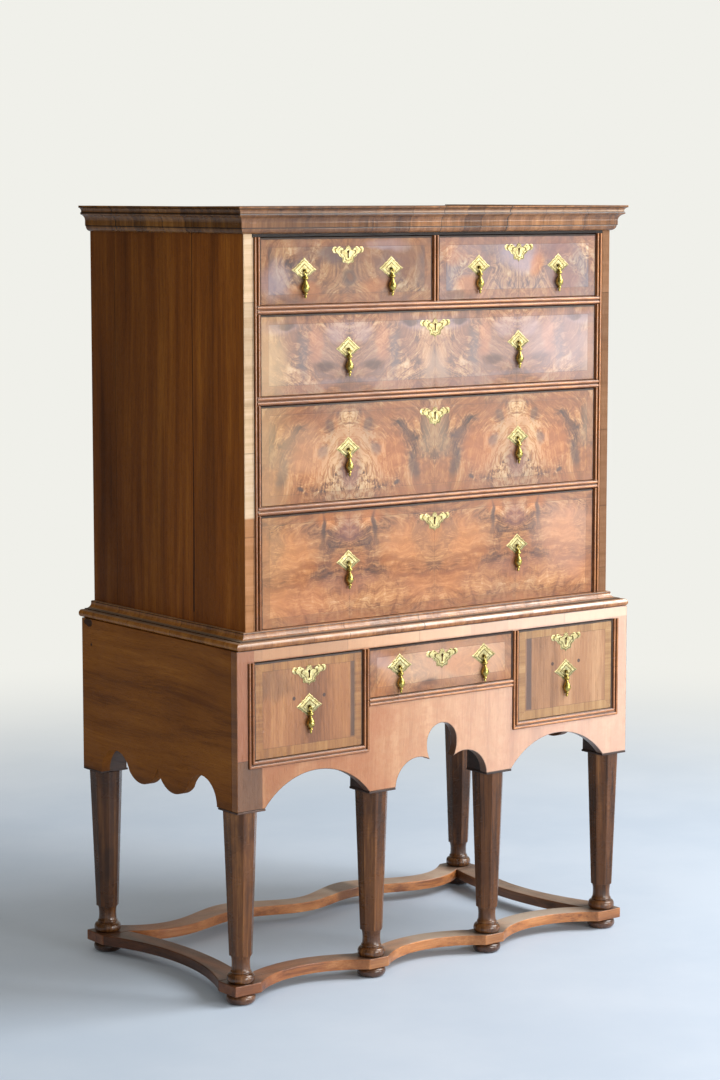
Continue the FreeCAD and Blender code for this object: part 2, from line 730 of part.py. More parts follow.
def stretchers():
    thickness = size["stretcher_top"] - size["foot_height"]
    outer = size["stand_width"] / 2
    front_row, back_row = size["front_leg_y"], size["back_leg_y"]
    front_edge, front_inner = front_row - 27, front_row + BLOCK_REACH
    middle_half = 23.5
    middle_in, middle_out = size["middle_leg_x"] - middle_half, size["middle_leg_x"] + middle_half
    bay = (middle_out + BLOCK_INNER) / 2
    bay_front, bay_back = -218, -172
    middle_back = front_row + 32
    half = [
        ("arc", 0, bay_front),
        (middle_in, front_edge),
        (middle_out, front_edge),
        ("arc", bay, bay_front),
        (BLOCK_INNER, front_edge),
        (outer, front_edge),
        (outer, front_inner),
        (BLOCK_INNER, front_inner),
        ("arc", bay, bay_back),
        (middle_out, middle_back),
        (middle_in, middle_back),
        ("arc", 0, bay_back),
    ]
    wire = outline(half[1:] + mirrored(half[1:-1]) + half[:1])
    front_legs = ["front_left", "middle_left", "middle_right", "front_right"]
    node(drilled("front_stretcher", prism(wire, thickness), front_legs), "front_stretcher")

    near, far = back_row - BLOCK_REACH, back_row + BLOCK_REACH
    swell_x, swell_back, swell_front = 152, 275, 213
    dip_x, dip_back, dip_front = 300, 229, 176
    back_line = [(BLOCK_INNER, far), (dip_x, dip_back), (swell_x, swell_back), (0, dip_back - 6)]
    front_line = [(BLOCK_INNER, near), (dip_x, dip_front), (swell_x, swell_front), (0, dip_front)]
    back_curve = spline(back_line + [(-x, y) for x, y in reversed(back_line[:-1])])
    front_curve = spline(front_line + [(-x, y) for x, y in reversed(front_line[:-1])])
    ends = []
    for sign in (1, -1):
        corners = [(BLOCK_INNER, far), (outer, far), (outer, near), (BLOCK_INNER, near)]
        points = [Vector(sign * x, y, 0) for x, y in corners]
        ends += [line(one, other) for one, other in zip(points, points[1:])]
    back_wire = Part.Wire(Part.__sortEdges__([back_curve, front_curve] + ends))
    back_legs = ["back_left", "back_right"]
    node(drilled("back_stretcher", prism(back_wire, thickness), back_legs), "back_stretcher")

    side_waist_out, side_waist_in = 451, 409
    sides = []
    for side, sign in SIGNS.items():
        points = [
            (sign * BLOCK_INNER, front_inner),
            (sign * outer, front_inner),
            ("arc", sign * side_waist_out, 0),
            (sign * outer, near),
            (sign * BLOCK_INNER, near),
            ("arc", sign * side_waist_in, 0),
        ]
        shape = prism(outline(points), thickness)
        shape.translate(Vector(0, 0, size["foot_height"]))
        sides.append(made(f"{side}_stretcher", shape))
    node(group("side_pair", sides), "side_stretchers")


# ---------------------------------------------------------------------- brass


def lozenge(name, x, z, face, scale):
    """A four-pointed plate with two small steps in each edge and a hole for the staple.
    The staple is at its origin, a little below the line between the side points."""
    lift = 2.0
    wide = size["lozenge_half"] * scale
    rise, fall = 23.5 * scale, 21.0 * scale
    right = [
        (0, lift - fall),
        (0.10 * wide, lift - 0.86 * fall),
        (0.28 * wide, lift - 0.72 * fall),
        (0.33 * wide, lift - 0.60 * fall),
        (0.55 * wide, lift - 0.44 * fall),
        (0.60 * wide, lift - 0.33 * fall),
        ("arc", 0.84 * wide, lift - 0.13 * fall),
        (wide, lift),
        ("arc", 0.84 * wide, lift + 0.12 * rise),
        (0.60 * wide, lift + 0.33 * rise),
        (0.55 * wide, lift + 0.44 * rise),
        (0.33 * wide, lift + 0.58 * rise),
        (0.28 * wide, lift + 0.70 * rise),
        (0.12 * wide, lift + 0.84 * rise),
        (0, lift + rise),
    ]
    shape = prism(outline(right + mirrored(right[1:-1])), size["plate_thickness"])
    shape = shape.cut(Part.makeCylinder(size["staple_hole"], size["plate_thickness"]))
    return made(name, fixed_on(shape, x, face, z))


def escutcheon(name, x, z, face, scale):
    """A cartouche with two round ears, a point above and below, and a keyhole."""
    half = [
        (0, -19.5),
        (1.8, -17.2),
        ("arc", 4.5, -15.2),
        (10.8, -14.6),
        ("arc", 13.4, -13.0),
        (13.6, -9.4),
        ("arc", 15.4, -5.0),
        (20.5, -2.6),
        ("arc", 23.8, 2.6),
        (27.8, 5.6),
        ("arc", 32.0, 4.0),
        (36.2, 5.8),
        ("arc", 38.0, 10.0),
        (36.2, 14.2),
        ("arc", 32.0, 16.0),
        (28.3, 14.6),
        (26.4, 12.8),
        ("arc", 21.0, 16.2),
        (14.8, 12.4),
        ("arc", 12.4, 9.2),
        (9.8, 8.6),
        ("arc", 7.6, 9.8),
        (6.0, 13.0),
        ("arc", 4.0, 16.4),
        (1.6, 16.6),
        (0, 19.5),
    ]
    thickness, length = size["plate_thickness"], size["keyhole_drop"]
    shape = prism(outline(half + mirrored(half[1:-1])), thickness)
    shape.transformShape(FreeCAD.Matrix(scale, 0, 0, 0, 0, scale, 0, 0, 0, 0, 1, 0))
    round_part = Part.makeCylinder(size["keyhole_radius"], thickness, Vector(0, length / 2, 0))
    slot = size["keyhole_slot"]
    slot_part = Part.makeBox(slot, length, thickness, Vector(-slot / 2, -length / 2, 0))
    shape = shape.cut(round_part.fuse(slot_part))
    return made(name, fixed_on(shape, x, face, z))


def staple(name, x, z, face):
    """A wire looped in front of the plate, with both legs through the drawer front
    and the tails clinched flat behind it."""
    loop, bend, tail = size["loop_radius"], size["bend_radius"], size["tail_length"]
    pivot_y = face - size["pivot_out"]
    tail_y = face + size["board"] + size["wire_radius"] + size["tail_gap"]
    leg_end = tail_y - bend
    diagonal = bend * (1 - math.cos(math.pi / 4))

    def at(y, up):
        return Vector(x, y, z + up)

    edges = [
        line(at(tail_y, loop + tail), at(tail_y, loop + bend)),
        arc(at(tail_y, loop + bend), at(tail_y - diagonal, loop + diagonal), at(leg_end, loop)),
        line(at(leg_end, loop), at(pivot_y, loop)),
        arc(at(pivot_y, loop), at(pivot_y - loop, 0), at(pivot_y, -loop)),
        line(at(pivot_y, -loop), at(leg_end, -loop)),
        arc(at(leg_end, -loop), at(tail_y - diagonal, -loop - diagonal), at(tail_y, -loop - bend)),
        line(at(tail_y, -loop - bend), at(tail_y, -loop - tail)),
    ]
    section = doc.addObject("Part::Circle", name + "_section")
    bind(section, {"Radius": "wire_radius"})
    section.Placement = Placement(at(tail_y, loop + tail), Rotation())
    item = doc.addObject("Part::Sweep", name)
    item.Sections = [section]
    item.Spine = (made(name + "_path", Part.Wire(edges)), [f"Edge{index + 1}" for index in range(len(edges))])
    item.Solid = True
    return item


# (half width, distance below the pivot) of a drop's turned outline
DROP_OUTLINE = [
    (0.0, -6.8),
    (2.4, -6.8),
    (2.8, -9.2),
    (3.4, -10.6),
    (4.6, -11.6),
    (5.7, -12.7),
    (6.0, -14.1),
    (5.4, -15.3),
    (3.6, -16.2),
    (2.8, -17.2),
    (2.9, -18.6),
    (3.5, -20.6),
    (5.6, -24.8),
    (7.0, -27.4),
    (7.9, -30.0),
    (8.2, -32.6),
    (7.7, -35.4),
    (6.3, -38.0),
    (4.4, -40.2),
    (3.1, -41.6),
    (3.8, -42.5),
    (4.3, -43.6),
    (3.9, -44.8),
    (2.2, -45.6),
    (2.4, -47.6),
    (2.6, -49.2),
    (2.2, -50.8),
    (1.3, -52.0),
    (0.0, -52.0),
]


def pear_drop(name, x, z, face):
    """A turned pear drop with a flat back, hanging from a flat eye whose top turns
    in the staple. The body's own origin is the pivot."""
    body = doc.addObject("PartDesign::Body", name + "_body")
    plane = [item for item in body.Origin.OriginFeatures if item.Role == "XZ_Plane"][0]
    profile = body.newObject("Sketcher::SketchObject", name + "_outline")
    profile.AttachmentSupport = [(plane, "")]
    profile.MapMode = "FlatFace"
    points = [Vector(across, down, 0) for across, down in DROP_OUTLINE]
    for start, end in zip(points, points[1:] + points[:1]):
        profile.addGeometry(Part.LineSegment(start, end))
    turned = body.newObject("PartDesign::Revolution", name + "_turned")
    turned.Profile = profile
    turned.ReferenceAxis = (profile, ["V_Axis"])
    turned.Angle = 360
    for kind, radius in {"AdditiveCylinder": "eye_radius", "SubtractiveCylinder": "eye_hole"}.items():
        eye = body.newObject("PartDesign::" + kind, f"{name}_{radius}")
        eye.Placement = Placement(Vector(), TURN["y"])
        bind(eye, {"Radius": radius, "Height": "eye_thickness"})
        bind(eye, {"Placement.Base.y": "-eye_thickness/2", "Placement.Base.z": "-eye_down"})
    pin = body.newObject("PartDesign::AdditiveCylinder", name + "_pin")
    pin.Placement = Placement(Vector(), TURN["x"])
    bind(pin, {"Radius": "pin_radius", "Height": "pin_length", "Placement.Base.x": "-pin_length/2"})
    flat = body.newObject("PartDesign::SubtractiveBox", name + "_flat")
    reach = "bulb_radius*2"
    bind(flat, {"Length": f"{reach}*2", "Width": reach, "Height": "drop_length*1.2"})
    bind(flat, {"Placement.Base.x": f"-({reach})", "Placement.Base.y": "drop_flat"})
    bind(flat, {"Placement.Base.z": "-drop_length*1.2"})
    body.Tip = flat
    place(body, x, f"{face} - pivot_out", z)
    node(body, name)


# -------------------------------------------------------------------- drawers


def drawer(name, across, low, high, frame_face, depth, pulls, keyholes, scale=1.0):
    """A drawer: its front, its box, its brasses and its drops.

    across is the opening's (left, right); low and high are its edges; pulls maps a
    drop's name to its (x, z) and keyholes lists each escutcheon's (x, z)."""
    face = f"{frame_face} + front_recess"
    inner = f"{face} + board"
    left, right = (f"{across[0]} + gap", f"{across[1]} - gap")
    front_z = (f"{low} + gap", f"{high} - gap*1.5")
    face_y = size_of(frame_face) + size["front_recess"]

    tools, brasses = [], []
    for index, (drop_name, (x, z)) in enumerate(pulls.items(), 1):
        piece = f"{name}_pull_{index}"
        tools.append(rod(piece + "_hole", "staple_hole", "board", (x, face, z), "y"))
        brasses.append(lozenge(piece + "_plate", x, z, face_y, scale))
        brasses.append(staple(piece + "_staple", x, z, face_y))
        pear_drop(f"{name}_{drop_name}", x, z, face)
    for index, (x, z) in enumerate(keyholes, 1):
        piece = f"{name}_lock_{index}"
        hole_z = f"{z} + keyhole_drop/2"
        tools.append(rod(piece + "_hole", "keyhole_radius", "board - lock_thickness", (x, face, hole_z), "y"))
        slot_x = (f"{x} - keyhole_slot/2", f"{x} + keyhole_slot/2")
        slot_y = (face, f"{inner} - lock_thickness")
        tools.append(board(piece + "_slot", slot_x, slot_y, (f"{hole_z} - keyhole_drop", hole_z)))
        case_x = (f"{x} - lock_width/2", f"{x} + lock_width/2")
        case_y = (f"{inner} - lock_thickness", inner)
        case_z = (f"{z} + board - lock_height", f"{z} + board")
        tools.append(board(piece + "_pocket", case_x, case_y, case_z))
        lock = board(piece + "_case", case_x, case_y, case_z)
        key_depth = f"{inner} - lock_thickness"
        key = rod(piece + "_key_hole", "keyhole_radius", "lock_thickness/2", (x, key_depth, hole_z), "y")
        brasses.append(cut(piece, lock, [key]))
        brasses.append(escutcheon(piece + "_escutcheon", x, z, face_y, scale))
    blank = board(name + "_front_board", (left, right), (face, inner), front_z)
    node(cut(name + "_front_cut", blank, tools), name + "_front")
    node(group(name + "_brass_set", brasses), name + "_brasses")

    rear = f"{inner} + {depth}"
    side_z = (f"{low} + slide_gap", f"{front_z[1]} - side_drop")
    within = (f"{left} + drawer_side", f"{right} - drawer_side")
    floor = (f"{low} + slide_gap + bottom_lift", f"{low} + slide_gap + bottom_lift + drawer_bottom")
    box = [
        board(name + "_left_side", (left, within[0]), (inner, rear), side_z),
        board(name + "_right_side", (within[1], right), (inner, rear), side_z),
        board(name + "_back", within, (f"{rear} - drawer_side", rear), side_z),
        board(name + "_bottom", within, (inner, f"{rear} - drawer_side"), floor),
    ]
    node(group(name + "_box_boards", box), name + "_box")


def size_of(face):
    """A front face's Y as a number."""
    upper = size["case_back"] - size["upper_depth"]
    return upper if face == UPPER_FRONT else size[face]


SMALL_X = 216  # middle of a small top drawer, and of each half of a long one
SMALL_PULL = 105  # a small drawer's drops from its middle
DEEP_X = 329.5  # middle of a deep stand drawer
SHALLOW_PULL = 108  # the middle stand drawer's drops from its middle


def upper_drawers():
    row_one = ("row_one_bottom", "row_one_top", UPPER_FRONT, "upper_drawer_depth")
    for side, sign in SIGNS.items():
        middle = sign * SMALL_X
        pulls = {"left_drop": (middle - SMALL_PULL, 1408), "right_drop": (middle + SMALL_PULL, 1408)}
        across = spread(sign, "partition_half", "opening_half")
        drawer(f"small_{side}_drawer", across, *row_one, pulls, [(middle, 1437)])
    rows = {
        "second": ("row_two_bottom", "row_one_bottom - rail_height", 1255, 1291),
        "third": ("row_three_bottom", "row_two_bottom - rail_height", 1061, 1116),
        "fourth": ("row_four_bottom", "row_three_bottom - rail_height", 840, 906),
    }
    for row_name, (low, high, pull_z, lock_z) in rows.items():
        pulls = {"left_drop": (-SMALL_X, pull_z), "right_drop": (SMALL_X, pull_z)}
        edges = (low, high, UPPER_FRONT, "upper_drawer_depth")
        drawer(f"{row_name}_drawer", ("-opening_half", "opening_half"), *edges, pulls, [(0, lock_z)])


def stand_drawers():
    scale = size["stand_brass_scale"]
    for side, sign in SIGNS.items():
        middle = sign * DEEP_X
        across = spread(sign, "deep_inner", "deep_outer")
        edges = ("deep_bottom", "frieze_bottom", "stand_front", "stand_drawer_depth")
        drawer(f"stand_{side}_drawer", across, *edges, {"drop": (middle, 571)}, [(middle, 634)], scale)
    across = ("-shallow_half", "shallow_half")
    edges = ("shallow_bottom", "frieze_bottom", "stand_front", "stand_drawer_depth")
    pulls = {"left_drop": (-SHALLOW_PULL, 626), "right_drop": (SHALLOW_PULL, 626)}
    drawer("stand_middle_drawer", across, *edges, pulls, [(0, 633)], scale)


# ---------------------------------------------------------------------- build

upper_boards()
upper_frame()
stand_front()
stand_boards()
node(group("all_runners", upper_runners() + stand_runners()), "drawer_runners")
upper_beading()
stand_beading()
cornice()
waist()
legs_and_feet()
stretchers()
upper_drawers()
stand_drawers()
doc.recompute()

for item in doc.Objects:
    if "Invalid" in item.State or "Error" in item.State:
        raise RuntimeError(f"{item.Name} failed: {item.State}")
for piece in nodes:
    if piece.Shape.isNull() or not piece.Shape.isValid():
        raise RuntimeError(f"{piece.Label} has no valid shape")

os.makedirs("parts", exist_ok=True)
for piece in nodes:
    piece.Shape.exportStep(f"parts/{piece.Label}.step")
print(len(nodes), "pieces written")
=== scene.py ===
# %% [markdown]
# # A walnut chest on stand
# An old chest of drawers stands on a low table with six octagonal legs. The built frame already gives
# every board, moulding and drawer its true place and size, in metres. This lesson adds what a buyer
# would see and touch: matched walnut veneers, softened edges, old polish, turned legs and the brasses.

# %% Load the built frame
import json
import math
from contextlib import contextmanager

import bpy
from mathutils import Matrix, Vector

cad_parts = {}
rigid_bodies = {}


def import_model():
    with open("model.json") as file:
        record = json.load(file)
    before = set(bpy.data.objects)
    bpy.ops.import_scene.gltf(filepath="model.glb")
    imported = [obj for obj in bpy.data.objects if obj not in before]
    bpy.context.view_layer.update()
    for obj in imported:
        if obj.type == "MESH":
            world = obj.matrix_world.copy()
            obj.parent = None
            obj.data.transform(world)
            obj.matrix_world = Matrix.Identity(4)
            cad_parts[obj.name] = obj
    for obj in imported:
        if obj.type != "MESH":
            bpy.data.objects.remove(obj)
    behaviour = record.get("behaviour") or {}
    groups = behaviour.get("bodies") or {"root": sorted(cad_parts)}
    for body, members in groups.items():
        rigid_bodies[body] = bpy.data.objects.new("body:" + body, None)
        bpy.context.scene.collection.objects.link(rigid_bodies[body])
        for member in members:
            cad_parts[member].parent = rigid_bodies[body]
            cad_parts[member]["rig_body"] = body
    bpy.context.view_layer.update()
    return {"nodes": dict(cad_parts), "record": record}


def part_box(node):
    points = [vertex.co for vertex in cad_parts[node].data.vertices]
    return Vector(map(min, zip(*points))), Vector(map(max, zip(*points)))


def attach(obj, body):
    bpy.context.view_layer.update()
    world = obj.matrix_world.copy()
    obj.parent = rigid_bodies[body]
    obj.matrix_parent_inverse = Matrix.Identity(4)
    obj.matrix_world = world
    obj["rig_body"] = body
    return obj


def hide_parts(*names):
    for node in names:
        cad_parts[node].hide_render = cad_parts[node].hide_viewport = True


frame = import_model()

scene = bpy.context.scene
print("nodes in the frame:", len(frame["nodes"]))

# %% [markdown]
# ## The camera
# It stands at eye height, well to the left of the chest, and looks slightly down. A long lens keeps the
# upright edges almost parallel, as a dealer's picture of tall furniture does.

# %% Camera
CAMERA_PLACE = (-3.4707, -4.5577, 1.5553)
LOOK_DOWN, TURN_RIGHT = 0.123692, 0.651405
lens = bpy.data.cameras.new("camera")
lens.lens = 93.06
lens.sensor_width = 36
lens.sensor_fit = "AUTO"
camera = bpy.data.objects.new("camera", lens)
camera.location = CAMERA_PLACE
camera.rotation_euler = (math.pi / 2 - LOOK_DOWN, 0, -TURN_RIGHT)
scene.collection.objects.link(camera)
scene.camera = camera
scene.view_settings.view_transform = "Standard"

# %% [markdown]
# ## Values and nodes
# A finish is a tree of shader nodes. One tree is open at a time, and every helper adds its nodes there.
# A node gives values, and values can be added, multiplied and compared like numbers: each such step adds
# a maths node. The finishes further down then read like a recipe.

# %% One value
OPEN = {}


class Value:
    """One output of a node. It is wide where it holds three numbers: a place or a colour."""

    def __init__(self, socket):
        self.socket = socket
        self.wide = socket.type != "VALUE"

    def __add__(self, other):
        return maths("ADD", self, other)

    def __sub__(self, other):
        return maths("SUBTRACT", self, other)

    def __rsub__(self, other):
        return maths("SUBTRACT", other, self)

    def __mul__(self, other):
        if self.wide and not is_wide(other):
            return put("VectorMath", {0: self, "Scale": other}, operation="SCALE")[0]
        return maths("MULTIPLY", self, other)

    def __truediv__(self, other):
        return maths("DIVIDE", self, other)

    def __abs__(self):
        return maths("ABSOLUTE", self)

    def __gt__(self, other):
        return maths("GREATER_THAN", self, other)

    def __lt__(self, other):
        return maths("LESS_THAN", self, other)


class Outputs:
    """The values that a node gives, by number or by name."""

    def __init__(self, sockets):
        self.sockets = sockets

    def __getitem__(self, key):
        return Value(self.sockets[key])


def is_wide(value):
    return value.wide if isinstance(value, Value) else isinstance(value, tuple)


# %% Add one node
def feed(socket, value):
    """Links or sets an input. A colour may leave out its alpha."""
    if isinstance(value, Value):
        OPEN["tree"].links.new(value.socket, socket)
    elif socket.type == "RGBA" and len(value) == 3:
        socket.default_value = (*value, 1.0)
    else:
        socket.default_value = value


def put(kind, inputs=None, **settings):
    """Adds one shader node, sets its options and its inputs, and gives its outputs."""
    made = OPEN["tree"].nodes.new("ShaderNode" + kind)
    for setting, value in settings.items():
        setattr(made, setting, value)
    for name, value in (inputs or {}).items():
        feed(made.inputs[name], value)
    return Outputs(made.outputs)


def maths(operation, *values):
    """Adds a maths node, for vectors if any of the values is one."""
    kind = "VectorMath" if any(is_wide(value) for value in values) else "Math"
    one_number = kind == "VectorMath" and operation in ("LENGTH", "DISTANCE", "DOT_PRODUCT")
    return put(kind, dict(enumerate(values)), operation=operation)["Value" if one_number else 0]


# %% Compare, measure, take apart and put together
def smaller(first, second):
    return maths("MINIMUM", first, second)


def larger(first, second):
    return maths("MAXIMUM", first, second)


def length(value):
    return maths("LENGTH", value)


def split(value):
    return put("SeparateXYZ", {0: value})


def together(x, y, z):
    return put("CombineXYZ", {0: x, 1: y, 2: z})[0]


# %% Spread a value, mix or multiply two colours, draw a noise
def spread(value, low, high, to_low=0.0, to_high=1.0):
    """Maps low..high smoothly onto to_low..to_high, and holds the ends."""
    inputs = {"Value": value, "From Min": low, "From Max": high, "To Min": to_low, "To Max": to_high}
    return put("MapRange", inputs, interpolation_type="SMOOTHSTEP")[0]


def blend(amount, first, second, how="MIX"):
    return put("Mix", {0: amount, 6: first, 7: second}, data_type="RGBA", blend_type=how)[2]


def tinted(colour, by):
    return blend(1.0, colour, by, "MULTIPLY")


def noise(place, scale, detail=2.0, roughness=0.5, distortion=0.0, colour=False):
    inputs = {"Vector": place, "Scale": scale, "Detail": detail, "Roughness": roughness}
    return put("TexNoise", {**inputs, "Distortion": distortion})["Color" if colour else "Fac"]


def shifted(place, waves, by, amount):
    """Pushes places about by up to half of amount, by a noise of that many waves a metre."""
    push = noise(place + by, waves, colour=True) - (0.5, 0.5, 0.5)
    return place + push * amount


# %% Start a shared effect, and place it in a finish
def effect(name, inputs, outputs):
    """Opens a node group, and gives the values that go into it."""
    tree = bpy.data.node_groups.new(name, "ShaderNodeTree")
    OPEN["tree"] = tree
    for label, value in inputs.items():
        kind = {tuple: "Color", float: "Float"}.get(type(value), "Vector")
        socket = tree.interface.new_socket(label, in_out="INPUT", socket_type="NodeSocket" + kind)
        if value is not None:
            socket.default_value = value
    for label in outputs:
        kind = {"Color": "Color", "Grain": "Vector", "Leaf place": "Vector"}.get(label, "Float")
        tree.interface.new_socket(label, in_out="OUTPUT", socket_type="NodeSocket" + kind)
    OPEN["results"] = tree.nodes.new("NodeGroupOutput").inputs
    return Outputs(tree.nodes.new("NodeGroupInput").outputs)


def give(**results):
    """Sends values out of the open effect. An underscore stands for a space."""
    for label, value in results.items():
        feed(OPEN["results"][label.replace("_", " ")], value)


def use(group, **inputs):
    """Places a shared effect. An underscore in an input's name stands for a space."""
    made = OPEN["tree"].nodes.new("ShaderNodeGroup")
    made.node_tree = bpy.data.node_groups[group]
    for label, value in inputs.items():
        feed(made.inputs[label.replace("_", " ")], value)
    return Outputs(made.outputs)


def paint(red, green, blue):
    """A colour as it looks on a screen, turned into the linear one that shaders use."""
    steps = [value / 255 for value in (red, green, blue)]
    line = [value / 12.92 if value <= 0.04045 else ((value + 0.055) / 1.055) ** 2.4 for value in steps]
    return (*line, 1.0)


# %% Start and complete a finish
FINISHES = {}


def start(name):
    """Opens a new material, and gives the object's own coordinates in metres."""
    material = bpy.data.materials.new(name)
    material.use_nodes = True
    FINISHES[name] = material
    OPEN["tree"] = material.node_tree
    return put("TexCoord")["Object"]


def complete(colour, roughness, height, depth=0.0004, **others):
    """Joins a surface to its shader. The others are what the shader's other inputs get."""
    bump = put("Bump", {"Height": height, "Distance": depth})[0]
    surface = {"Base Color": colour, "Roughness": roughness, "Normal": bump, **others}
    for name, value in surface.items():
        feed(OPEN["tree"].nodes["Principled BSDF"].inputs[name.replace("_", " ")], value)


# %% [markdown]
# ## Background, lamps and floor
# Camera rays see a pale background. The wood is lit by a weaker sky and by three soft panels: one like a
# window at the right front, one in the room and one overhead. Glossy surfaces mirror a room that is
# brighter toward the right, so the front carries a sheen there, and the left side stays deep.

# %% Background
BACKDROP = paint(240, 240, 234)
world = bpy.data.worlds.new("studio")
scene.world = world
world.use_nodes = True
world.node_tree.nodes.clear()
OPEN["tree"] = world.node_tree
rightward = maths("DOT_PRODUCT", put("TexCoord")["Generated"], (0.795, -0.606, 0.0))
room = blend(spread(rightward, -0.7, 0.5), paint(82, 70, 50), paint(196, 194, 188))
rays = put("LightPath")
backgrounds = [
    put("Background", {"Color": colour, "Strength": strength})[0]
    for colour, strength in ((paint(250, 244, 232), 0.44), (room, 1.0), (BACKDROP, 1.0))
]
lit = put("MixShader", {0: rays["Is Glossy Ray"], 1: backgrounds[0], 2: backgrounds[1]})[0]
through = larger(rays["Is Camera Ray"], rays["Is Transmission Ray"])
put("OutputWorld", {"Surface": put("MixShader", {0: through, 1: lit, 2: backgrounds[2]})[0]})

# %% Three soft panels
for name, place, aim, width, height, power, colour in (
    ("window_panel", (3.9, -4.4, 0.75), (0, 0, 0.8), 1.8, 1.0, 42, (1.0, 0.985, 0.96)),
    ("room_panel", (0.9, -5.0, 1.2), (0, 0, 0.7), 2.4, 2.0, 115, (1.0, 0.985, 0.96)),
    ("overhead_panel", (2.8, -2.2, 3.4), (0, 0, 0.8), 3.0, 3.0, 230, (1.0, 0.99, 0.97)),
):
    light = bpy.data.lights.new(name, "AREA")
    light.shape = "RECTANGLE"
    light.size = width
    light.size_y = height
    light.energy = power
    light.color = colour
    lamp = bpy.data.objects.new(name, light)
    lamp.location = place
    lamp.rotation_euler = (Vector(aim) - Vector(place)).to_track_quat("-Z", "Y").to_euler()
    scene.collection.objects.link(lamp)

# %% Floor
FLOOR_RADIUS = 16
FADE_FROM, FADE_TO = 1.1, 3.6
bpy.ops.mesh.primitive_circle_add(vertices=96, radius=FLOOR_RADIUS, fill_type="NGON", location=(0, 0, 0))
floor = bpy.context.object
floor.name = "studio_floor"
spot = start("pale_floor")
mottle = spread(noise(spot, 1.6, 5.0, 0.6), 0.3, 0.7)
nodes = OPEN["tree"].nodes
surface = nodes["Principled BSDF"]
feed(surface.inputs["Base Color"], blend(mottle, paint(196, 212, 232), paint(206, 220, 238)))
feed(surface.inputs["Roughness"], 0.6)
feed(surface.inputs["Specular IOR Level"], 0.2)
far = spread(length(spot), FADE_FROM, FADE_TO) * put("LightPath")["Is Camera Ray"]
horizon = put("Emission", {"Color": BACKDROP, "Strength": 1.0})[0]
ground = put("MixShader", {0: far, 1: Value(surface.outputs[0]), 2: horizon})[0]
feed(nodes["Material Output"].inputs["Surface"], ground)
floor.data.materials.append(FINISHES["pale_floor"])

# %% [markdown]
# ## Straight-grained walnut
# Plain boards and cross-cut strips share one grain: broad bands of growth, finer lines within them and
# short dark pores. It runs along Z, so a strip whose grain runs another way turns its coordinates
# first. The group gives a colour, and a height that sinks the pores.

# %% Straight grain
given = effect(
    "straight_grain",
    {
        "Vector": None, "Dark": paint(70, 40, 24), "Middle": paint(124, 76, 44), "Light": paint(165, 108, 66),
        "Seed": 0.0, "Waver": 0.03, "Bands": 55.0,
    },
    ["Color", "Height"],
)
board = given["Vector"] + together(given["Seed"], given["Seed"] * 1.7, given["Seed"])
drift = noise(board * (3, 3, 1.1), 1.0, colour=True) - (0.5, 0.5, 0.5)
bent = board + drift * given["Waver"]
bands = noise(bent * together(given["Bands"], given["Bands"], 1.6), 1.0, 3.0, 0.6)
lines = noise(bent * (320, 320, 6), 1.0, 2.0, 0.6)
broad = noise(board * (6, 6, 1.5), 1.0)
pores = spread(noise(bent * (1300, 1300, 42), 1.0, 1.0), 0.56, 0.72)
tone = bands * 0.5 + lines * 0.22 + broad * 0.28
colour = blend(spread(tone, 0.36, 0.50), given["Dark"], given["Middle"])
colour = blend(spread(tone, 0.48, 0.64), colour, given["Light"])
give(Color=blend(pores * 0.4, colour, given["Dark"]), Height=lines * 0.35 - pores * 0.6)

# %% [markdown]
# ## Matched burr veneer
# Each long drawer front wears four leaves cut one after another from the same burr, opened like a book:
# the figure mirrors at the middle and again at each handle. Folding the sideways coordinate with a
# ping-pong does the same. Growth lines then run round an eye that each front has in its own place,
# with orange burr inside it and smoky mineral stains across it. The group also gives the folded
# coordinate, so that a front can add knots and streaks of its own to all its leaves at once.

# %% Matched veneer
given = effect(
    "matched_veneer",
    {
        "Vector": None, "Middle": 0.0, "Leaf": 0.2125, "Eye": None, "Squeeze": None, "Burr reach": 0.11,
        "Seed": 0.0, "Smoke": 0.5, "Warmth": 0.5, "Figure": 1.0,
    },
    ["Color", "Height", "Leaf place"],
)
seed = given["Seed"]
x, y, z = split(given["Vector"])
wander = (noise(given["Vector"], 9.0, 3.0) - 0.5) * 0.020
folded = maths("PINGPONG", x - given["Middle"] + wander, given["Leaf"])
swirl = shifted(together(folded, seed, z), 6.0, (0.3, 0.1, 0.7), 0.10)
swirl = shifted(swirl, 21.0, (1.3, 0.4, 0.2), 0.030)
eye = split(given["Eye"])
ring = length((swirl - together(eye[0], seed, eye[2])) * given["Squeeze"])
inside = spread(ring, given["Burr reach"], 0.02)

# %% Its growth lines, burr and tone
growth = noise(together(ring * 30.0, seed, folded * 5.0), 1.0, 4.0, 0.62, 0.3)
fine_place = together(ring * 240.0, seed, folded * 30.0)
fine = noise(fine_place, 1.0, 3.0, 0.65)
burr = noise(swirl, 46.0, 8.0, 0.74, 1.4)
clouds = noise(swirl, 13.0, 4.0, 0.6, 0.8)
curl = (burr - 0.48) * (inside * 0.6 + 0.5)
tone = growth * 0.40 + fine * 0.32 + clouds * 0.28 + curl + inside * 0.03 - 0.50
figure = put("ValToRGB", {0: tone * given["Figure"] + 0.495})[0]
stops = figure.socket.node.color_ramp.elements
for position, shade in (
    (0.36, (44, 26, 18)), (0.43, (78, 46, 28)), (0.48, (118, 72, 42)), (0.52, (152, 98, 56)),
    (0.57, (178, 124, 74)), (0.65, (204, 160, 114)),
):
    stops.new(position).color = paint(*shade)
stops.remove(stops[0])
stops.remove(stops[-1])

